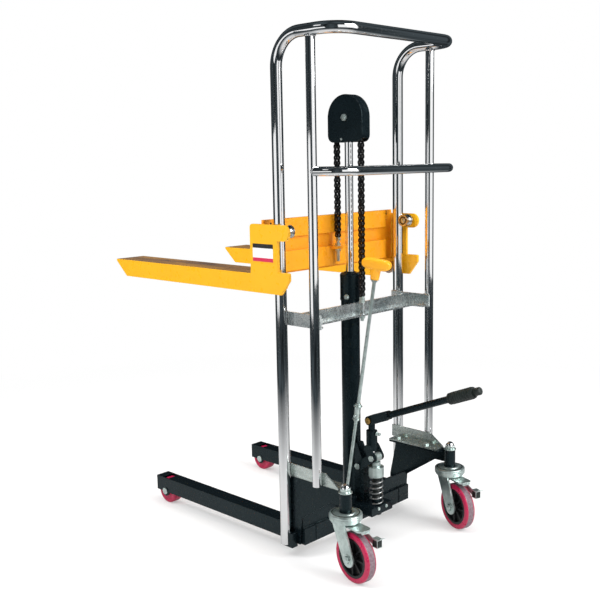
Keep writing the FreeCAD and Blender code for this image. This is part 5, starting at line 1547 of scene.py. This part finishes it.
@dataclass
class PumpUnit:
    """Spring, lever grip and small fittings of the pump."""

    plunger_y: float = 0.121
    seat_z: float = 0.112
    spring_h: float = 0.085
    spring_r: float = 0.0185
    spring_gap: float = 0.0003
    wire_r: float = 0.0025
    turns: int = 5
    travel: float = 0.029
    boot_bore: float = 0.0092
    boot_r: float = 0.0128
    boot_waist: float = 0.0112
    boot_folds: int = 9
    boot_slope: float = 0.002
    boot_top: float = 0.0846
    knuckle_y: float = 0.105
    knuckle_z: float = 0.366
    tilt: float = math.radians(22.0)
    grip_from: float = 0.298
    grip_to: float = 0.404
    grip_r: float = 0.017
    grip_bore: float = 0.0103
    grip_ribs: int = 9
    rib_start: float = 0.009
    rib_end: float = 0.005
    knob_h: float = 0.022
    knob_r: float = 0.011
    knob_round: float = 0.005
    base_screw_x: Pair = (0.018, -0.017)
    base_screw_y: float = 0.1434
    base_screw_z: float = 0.1055
    base_screw: Pair = (0.005, 0.004)
    lock_y: float = 0.1205
    lock_z: float = 0.327
    lock_thread: Profile = ((0, 0), (0, 0.0028), (0.011, 0.0028), (0.011, 0))
    lock_nut_y: float = 0.0035
    lock_nut: Pair = (0.0048, 0.004)
    lock_head_y: float = 0.0105
    lock_head: Pair = (0.0045, 0.0055)

    def build(self) -> None:
        """Make the spring, grip and fittings."""
        self.spring()
        self.grip()
        self.fittings()

    def spring(self) -> None:
        """Return spring round a dark folded core that stands in for the shade inside the coils, both squeezed as the
        plunger goes down.
        """
        shape = Shaper()
        seat = at(0, self.plunger_y, self.seat_z)
        count = self.turns * 36
        rise = self.spring_h - 2 * (self.wire_r + self.spring_gap)
        low = self.wire_r + self.spring_gap
        path = []
        for i in range(count + 1):
            turn = 2 * math.pi * self.turns * i / count
            path.append(seat + Vector((self.spring_r * math.cos(turn), self.spring_r * math.sin(turn),
                                       low + rise * i / count)))
        shape.sweep(path, self.wire_r, 14)
        # Painted shade: a dark folded core fills the coils, standing in for the shade inside the spring.
        shape.paint = 1
        dark_core = [(self.spring_gap, self.boot_bore), (self.spring_gap, self.boot_r)]
        for k in range(self.boot_folds):
            foot = self.spring_h * (k + 0.5) / self.boot_folds
            dark_core += [(foot - self.boot_slope, self.boot_r), (foot + self.boot_slope, self.boot_waist)]
        dark_core += [(self.boot_top, self.boot_waist), (self.boot_top, self.boot_bore)]
        shape.lathe(dark_core, seat, Z, 32, closed=True)
        piece = shape.done("return_spring", [SPRING, RUBBER], "frame", ["pump_spring"], "chain_steel")
        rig.squash(piece, "plunger_slide", axis=(0, 0, 1), anchor=at(0, self.plunger_y, self.seat_z),
                  keep=1 - self.travel / self.spring_h)

    def lever(self, reach: float) -> Vector:
        """Point on the lever's axis."""
        return at(0, self.knuckle_y + reach * math.cos(self.tilt),
                  self.knuckle_z + reach * math.sin(self.tilt))

    def grip(self) -> None:
        """Ribbed rubber grip with a collar at its start and a knob on its end."""
        shape = Shaper()
        length = self.grip_to - self.grip_from
        body = length - self.knob_h
        full = self.grip_r
        valley = full * 0.93
        stalk = self.knob_r * 0.86
        profile = [(0.0, self.grip_bore), (0.0, full * 0.9), (0.001, full * 0.96), (0.006, full * 0.96),
                   (0.0075, full * 0.88)]
        step = (body - self.rib_start - self.rib_end) / self.grip_ribs
        for k in range(self.grip_ribs):
            foot = self.rib_start + step * k
            profile += [(foot, valley), (foot + step * 0.2, full), (foot + step * 0.66, full),
                        (foot + step * 0.86, valley)]
        profile += [(body - 0.002, valley), (body, full * 0.86), (body, stalk), (body + 0.004, stalk),
                    (body + 0.0065, self.knob_r)]
        profile += [(length - self.knob_round * (1 - s), self.knob_r * (0.5 + 0.5 * c))
                    for c, s in quarter(6)]
        profile.append((length, 0.0))
        shape.lathe(profile, self.lever(self.grip_from), self.lever(1.0) - self.lever(0.0), 40)
        shape.done("grip_sleeve", [RUBBER], "lever", ["lever_grip"], "black_rubber")

    def fittings(self) -> None:
        """Screws in the pump base and the lock screw in the lever's socket."""
        shape = Shaper()
        for x in self.base_screw_x:
            shape.socket_screw(at(x, self.base_screw_y, self.base_screw_z), Y, *self.base_screw)
        shape.done("base_screws", [ZINC], "frame", slot="zinc_plate")
        lock = Shaper()
        seat = at(0, self.lock_y, self.lock_z)
        lock.lathe(self.lock_thread, seat, Y, 16)
        lock.bolt(seat + Y * self.lock_nut_y, Y, *self.lock_nut)
        lock.socket_screw(seat + Y * self.lock_head_y, Y, *self.lock_head)
        lock.done("lock_screw", [ZINC], "rocker", slot="zinc_plate")


@dataclass
class ReleaseHandle:
    """Yellow T-handle at the top of the release rod, and the rod's joint."""

    x: float = 0.045
    foot_y: float = 0.042
    foot_z: float = 0.13
    head_y: float = 0.156
    head_z: float = 0.794
    joint_z: float = 0.395
    rise: float = 0.045
    turn: float = math.radians(22.0)
    bar_half: float = 0.044
    bar_wide: float = 0.0155
    bar_up: float = 0.0145
    bar_down: float = 0.017
    bar_taper: float = 4.0
    bar_square: float = 0.5
    bar_steps: int = 22
    bar_sides: int = 28
    neck: Profile = ((0.0, 0.0052), (0.0, 0.0115), (0.001, 0.0125), (0.012, 0.0132), (0.02, 0.0136),
                     (0.029, 0.0145), (0.036, 0.015))
    pin: Profile = ((0, 0), (0, 0.0045), (0.003, 0.0045), (0.0038, 0.0036), (0.0038, 0))
    pin_x: float = 0.0082
    pin_drop: float = 0.009
    upper_nut_rise: float = 0.02
    upper_nut: Pair = (0.0098, 0.0075)
    lower_nut_drop: float = 0.0185
    lower_nut: Pair = (0.009, 0.0065)
    head_nut_drop: float = 0.0005
    head_nut: Pair = (0.0092, 0.007)

    def build(self) -> None:
        """Make the handle and the joint's nuts."""
        self.handle()
        self.joint()

    def foot(self) -> Vector:
        """Lower end of the rod."""
        return at(self.x, self.foot_y, self.foot_z)

    def head(self) -> Vector:
        """Upper end of the rod."""
        return at(self.x, self.head_y, self.head_z)

    def way(self) -> Vector:
        """Direction of the rod."""
        return (self.head() - self.foot()).normalized()

    def squared(self, value: float) -> float:
        """Sine or cosine pushed outwards, which squares a round section."""
        return math.copysign(abs(value) ** self.bar_square, value)

    def handle(self) -> None:
        """Bar with a squared section and tapered ends, on a round neck."""
        shape = Shaper()
        up = self.way()
        flat = Vector((-math.sin(self.turn), math.cos(self.turn), 0.0))
        along = (flat - up * flat.dot(up)).normalized()
        side = up.cross(along)
        middle = self.head() + up * self.rise
        rings = [[middle - along * self.bar_half]]
        for i in range(1, self.bar_steps):
            share = -1 + 2 * i / self.bar_steps
            size = (1 - abs(share) ** self.bar_taper) ** 0.5
            wide = self.bar_wide * (0.35 + 0.65 * size)
            ring = []
            for k in range(self.bar_sides):
                angle = 2 * math.pi * k / self.bar_sides
                lift = self.squared(math.sin(angle)) * size
                tall = (self.bar_up if lift > 0 else self.bar_down) * lift
                across = self.squared(math.cos(angle)) * wide
                ring.append(middle + along * (self.bar_half * share) + side * across + up * tall)
            rings.append(ring)
        rings.append([middle + along * self.bar_half])
        shape.skin(rings, caps=False)
        shape.lathe(self.neck, self.head(), up, 32)
        shape.done("t_handle", [YELLOW_GRIP], "release", ["release_handle"], "yellow_grip", 50.0)

    def joint(self) -> None:
        """Lock nuts on the rod's joint and at its head."""
        shape = Shaper()
        up = self.way()
        joint = self.foot() + up * ((self.joint_z - self.foot_z) / up.z)
        shape.bolt(joint + up * self.upper_nut_rise, up, *self.upper_nut)
        shape.bolt(joint - up * self.lower_nut_drop, -up, *self.lower_nut)
        shape.lathe(self.pin, joint - up * self.pin_drop + X * self.pin_x, X, 20)
        shape.bolt(self.head() - up * self.head_nut_drop, -up, *self.head_nut)
        shape.done("rod_nuts", [ZINC], "release", slot="zinc_plate")


@dataclass
class Carriage:
    """Fasteners, sticker and weld lines of the fork carriage."""

    back_rear: float = -0.0421
    fork_top: float = 0.819
    guide_x: float = 0.25
    guide_y: float = 0.0293
    upper_z: float = 0.937
    lower_z: float = 0.786
    guide_rings: tuple[Triple, ...] = (
        (0.0062, 0.0088, 0.0003), (0.0128, 0.0148, 0.0007), (0.0164, 0.018, 0.0004))
    ring_sunk: float = -0.0005
    ring_round: float = 0.0004
    seal_in: float = 0.0087
    seal_out: float = 0.0129
    seal_rise: float = 0.0002
    sticker_x: float = 0.29005
    sticker_y: Pair = (-0.079, 0.001)
    sticker_t: float = 0.0003
    axle_bolt: Pair = (0.0052, 0.0014)
    axle_bolt_sunk: float = 0.0004
    back_bolt_x: float = 0.254
    back_bolt_z: float = 0.941
    back_bolt: Pair = (0.006, 0.005)
    back_screw_z: float = 0.956
    back_screw: Pair = (0.0032, 0.0012)
    corner_weld_x: float = 0.2815
    corner_weld_y: float = -0.0415
    corner_weld_z: Pair = (0.83, 0.956)
    corner_weld_r: float = 0.0026
    fork_weld_x: Pair = (0.188, 0.281)
    fork_weld_y: float = -0.0505
    fork_weld_r: float = 0.0028
    plate_weld_x: float = 0.2822
    plate_weld_y: Pair = (-0.0903, -0.05)
    plate_weld_z: float = 0.82
    plate_weld_r: float = 0.0024

    def build(self) -> None:
        """Make the details."""
        self.sticker()
        self.fasteners()
        self.welds()

    def sticker(self) -> None:
        """Plain banded sticker on the left side plate."""
        shape = Shaper()
        front, rear = self.sticker_y
        low, high = STICKER.low_z, STICKER.high_z
        corners = ((front, low), (rear, low), (rear, high), (front, high))
        shape.slab([at(self.sticker_x, y, z) for y, z in corners], X * self.sticker_t)
        shape.done("side_sticker", [STICKER], "carriage", slot="yellow_enamel")

    def fasteners(self) -> None:
        """Bolts in the roller axles' inner ends, rings on the rollers, and bolts in the back plate."""
        shape = Shaper()
        for side in Side:
            for tag, y, z in (("upper", self.guide_y, self.upper_z), ("lower", -self.guide_y, self.lower_z)):
                inner = side.at(self.guide_x, y, z)
                shape.bolt(inner - side.out * self.axle_bolt_sunk, -side.out, *self.axle_bolt)
                self.rings(tag + "_" + side.tag, inner, -side.out)
        for x in (-self.back_bolt_x, self.back_bolt_x):
            # The back plate's bolts take the yellow enamel in painted shade.
            shape.paint = 1
            shape.bolt(at(x, self.back_rear, self.back_bolt_z), Y, *self.back_bolt)
            shape.paint = 2
            shape.socket_screw(at(x, self.back_rear, self.back_screw_z), Y, *self.back_screw)
        shape.done("carriage_bolts", [ZINC, YELLOW_IN_SHADE, BLACK], "carriage", slot="zinc_plate")

    def rings(self, name: str, centre: Vector, way: Vector) -> None:
        """Bearing rings on the inner end of a guide roller.

        Args:
            name: Which roller.
            centre: Middle of its end face.
            way: Direction that the end faces.
        """
        shape = Shaper()
        for near, far, rise in self.guide_rings:
            profile = [(self.ring_sunk, near), (rise * 0.6, near), (rise, near + self.ring_round),
                       (rise, far - self.ring_round), (rise * 0.6, far), (self.ring_sunk, far)]
            shape.lathe(profile, centre, way, 48, closed=True)
        shape.paint = 1
        shape.collar(self.ring_sunk, self.seal_rise, self.seal_in, self.seal_out, centre, way, 48)
        shape.done("roller_rings_" + name, [BEARING, HUB_BLACK], "guide_" + name, slot="roller_steel")

    def welds(self) -> None:
        """Painted fillets where the forks, side plates and back plate meet."""
        shape = Shaper()
        for side in Side:
            corner = [side.at(self.corner_weld_x, self.corner_weld_y, z) for z in self.corner_weld_z]
            fork = [side.at(x, self.fork_weld_y, self.fork_top) for x in self.fork_weld_x]
            plate = [side.at(self.plate_weld_x, y, self.plate_weld_z) for y in self.plate_weld_y]
            shape.bead(corner, self.corner_weld_r)
            shape.bead(fork, self.fork_weld_r)
            shape.bead(plate, self.plate_weld_r)
        shape.done("carriage_welds", [YELLOW], "carriage", slot="yellow_enamel")


@dataclass
class LiftUnit:
    """Fittings on the cylinder, the gland and the chain hood."""

    axis_y: float = 0.026
    seam_z: float = 0.1125
    seam_out: float = 0.0283
    gland_top: float = 0.8
    gland_ring_z: Pair = (0.722, 0.788)
    gland_ring_h: float = 0.002
    gland_ring_r: Pair = (0.0285, 0.0301)
    wiper: Profile = ((0.0, 0.0123), (0.0, 0.0175), (0.0015, 0.0175), (0.003, 0.0155), (0.003, 0.0123))
    screw_way: Triple = (1.0, 0.35, 0.0)
    screw_z: float = 0.73
    screw_seat: float = 0.0287
    screw: Pair = (0.0062, 0.006)
    rim_x: float = 0.0164
    hood_z: float = 1.247
    hood_r: float = 0.0649
    hood_low: float = 1.177
    hood_corner: float = 0.02
    hood_foot: float = 0.03
    rim_in: float = 0.0015
    rim_r: float = 0.0017
    axle_x: float = 0.0219
    axle_nut: Pair = (0.0072, 0.0045)
    hood_screw_at: Triple = (0.0168, 0.013, 1.186)
    hood_screw: Pair = (0.0038, 0.0024)
    seam_r: float = 0.0026
    seam_turn: float = 1.02

    def build(self) -> None:
        """Make the fittings."""
        self.gland()
        self.hood()
        self.seams()

    def gland(self) -> None:
        """Raised rings round the gland, its lock screw and the wiper ring on top."""
        shape = Shaper()
        for z in self.gland_ring_z:
            shape.collar(0.0, self.gland_ring_h, *self.gland_ring_r, at(0, self.axis_y, z), Z, 64)
        shape.lathe(self.wiper, at(0, self.axis_y, self.gland_top), Z, 48, closed=True)
        shape.done("gland_rings", [BLACK], "frame", slot="black_enamel")
        screw = Shaper()
        way = Vector(self.screw_way).normalized()
        screw.bolt(at(0, self.axis_y, self.screw_z) + way * self.screw_seat, way, *self.screw)
        screw.done("gland_screw", [ZINC], "frame", slot="zinc_plate")

    def hood(self) -> None:
        """Raised rims of the hood's faces, the axle's nuts and the small screws below them."""
        shape = Shaper()
        screws = Shaper()
        rim = self.rim()
        for side in Side:
            shape.sweep([point + side.out * self.rim_x for point in rim], self.rim_r, 8)
            screws.bolt(side.at(self.axle_x, self.axis_y, self.hood_z), side.out, *self.axle_nut)
            screws.socket_screw(side.at(*self.hood_screw_at), side.out, *self.hood_screw)
        shape.done("hood_rims", [BLACK], "ram", slot="black_enamel")
        screws.done("hood_screws", [ZINC], "ram", slot="zinc_plate")

    def rim(self) -> Path:
        """Line along the hood's outer edge, from one lower corner over the top to the other.

        Returns:
            The points, at x of nought.
        """
        radius = self.hood_r - self.rim_in
        low = self.hood_low + self.rim_in
        corners = [at(0, self.axis_y - self.hood_foot, low), at(0, self.axis_y - radius, low),
                   at(0, self.axis_y - radius, self.hood_z)]
        points = bend(corners, [self.hood_corner])
        points += arch(self.axis_y, self.hood_z, radius, 30)[1:]
        corners = [points[-1], at(0, self.axis_y + radius, low), at(0, self.axis_y + self.hood_foot, low)]
        return points + bend(corners, [self.hood_corner])[1:]

    def seams(self) -> None:
        """Weld round the cylinder's foot."""
        shape = Shaper()
        foot = at(0, self.axis_y, self.seam_z)
        shape.bead(circle(foot, Z, self.seam_out, 60, self.seam_turn), self.seam_r)
        shape.done("cylinder_weld", [BLACK], "frame", slot="black_enamel")


@dataclass
class Chassis:
    """Weld lines, corner plates and load rollers of the chassis."""

    leg_x0: float = 0.194
    leg_x1: float = 0.242
    leg_top: float = 0.088
    cross_y: Pair = (-0.004, 0.056)
    leg_weld_z: Pair = (0.042, 0.087)
    leg_weld_r: float = 0.0028
    cross_weld_r: float = 0.0024
    gusset_weld_y: Pair = (-0.017, 0.044)
    gusset_weld_z: float = 0.0885
    roller_y: float = -0.59
    roller_r: float = 0.042
    roller_half: float = 0.017
    roller_bore: float = 0.0082
    roller_boss: Pair = (0.016, 0.017)
    roller_rim: Pair = (0.03, 0.0315)
    roller_dish: float = 0.0015
    roller_edge: float = 0.005
    plate_tip: float = 0.098
    plate_front: float = 0.043
    plate_foot: float = 0.0875
    plate_top: float = 0.132
    plate_bend: float = 0.012
    plate_t: float = 0.006
    plate_weld_y: float = 0.0492
    plate_weld_r: float = 0.0022

    def build(self) -> None:
        """Make the details."""
        self.welds()
        self.corner_plates()
        for side in Side:
            self.roller(side)

    def welds(self) -> None:
        """Painted fillets between legs, cross member and gussets."""
        shape = Shaper()
        for side in Side:
            for y in self.cross_y:
                shape.bead([side.at(self.leg_x0, y, z) for z in self.leg_weld_z], self.leg_weld_r)
            shape.bead([side.at(self.leg_x0, y, self.leg_top) for y in self.cross_y], self.cross_weld_r)
            shape.bead([side.at(self.leg_x1, y, self.gusset_weld_z) for y in self.gusset_weld_y],
                       self.leg_weld_r)
        shape.done("chassis_welds", [BLACK], "frame", slot="black_enamel")

    def corner_plates(self) -> None:
        """Low plates that stand on the cross member and close its corners with the gussets."""
        shape = Shaper()
        ends = (self.plate_tip, self.leg_x1)
        round_off = [(self.plate_tip + self.plate_bend * (1 - c), self.plate_top - self.plate_bend * (1 - s))
                     for c, s in quarter(6)]
        outline = [(self.leg_x1, self.plate_foot), (self.plate_tip, self.plate_foot), *round_off,
                   (self.leg_x1, self.plate_top)]
        for side in Side:
            shape.slab([side.at(x, self.plate_front, z) for x, z in outline], Y * self.plate_t)
            shape.bead([side.at(x, self.plate_weld_y, self.leg_top) for x in ends], self.plate_weld_r)
        shape.done("corner_plates", [BLACK], "frame", slot="black_enamel")

    def roller(self, side: Side) -> None:
        """Rounded load roller with dished faces.

        Args:
            side: Side of the machine.
        """
        shape = Shaper()
        half = self.roller_half
        dish = -half + self.roller_dish
        edge = self.roller_edge
        profile = [(-half, self.roller_bore), (-half, self.roller_boss[0]), (dish, self.roller_boss[1]),
                   (dish, self.roller_rim[0]), (-half, self.roller_rim[1])]
        profile += [(-half + edge * (1 - c), self.roller_r - edge * (1 - s)) for c, s in quarter(5)]
        profile += [(-reach, radius) for reach, radius in reversed(profile)]
        centre = side.at((self.leg_x0 + self.leg_x1) / 2, self.roller_y, self.roller_r)
        shape.lathe(profile, centre, X, 72, closed=True)
        shape.done("load_wheel_" + side.tag, [RED], "load_roller_" + side.tag, ["load_roller_" + side.tag],
                   "red_polyurethane")


CASTER_TURN = {Side.LEFT: math.radians(-10.0), Side.RIGHT: math.radians(-20.0)}


def dress_frame() -> None:
    """Give every CAD node its own finish or that of its material slot."""
    for entry in frame["record"]["subparts"]:
        node = frame["nodes"][entry["node"]]
        finish = NODE_FINISH.get(entry["node"]) or SLOT_FINISH[entry["material_slot"]]
        node.data.materials.clear()
        node.data.materials.append(finish.material())


def main() -> None:
    """Build the scene and report each step."""
    logging.basicConfig(level=logging.INFO, format="%(message)s")
    dress_frame()
    Studio().build()
    LOG.info("frame dressed and studio ready")
    for part in (Mast(), LiftChain(), LiftUnit(), Carriage(), PumpUnit(), ReleaseHandle(), Chassis()):
        part.build()
    for side, turn in CASTER_TURN.items():
        Caster(side, turn).build()
    boxes = {"cad": CAD_BOX, "visual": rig.bounds()}
    lists = {name: [list(corner) for corner in box] for name, box in boxes.items()}
    with open("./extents.json", "w", encoding="utf-8") as out:
        json.dump(lists, out)


if __name__ == "__main__":
    main()
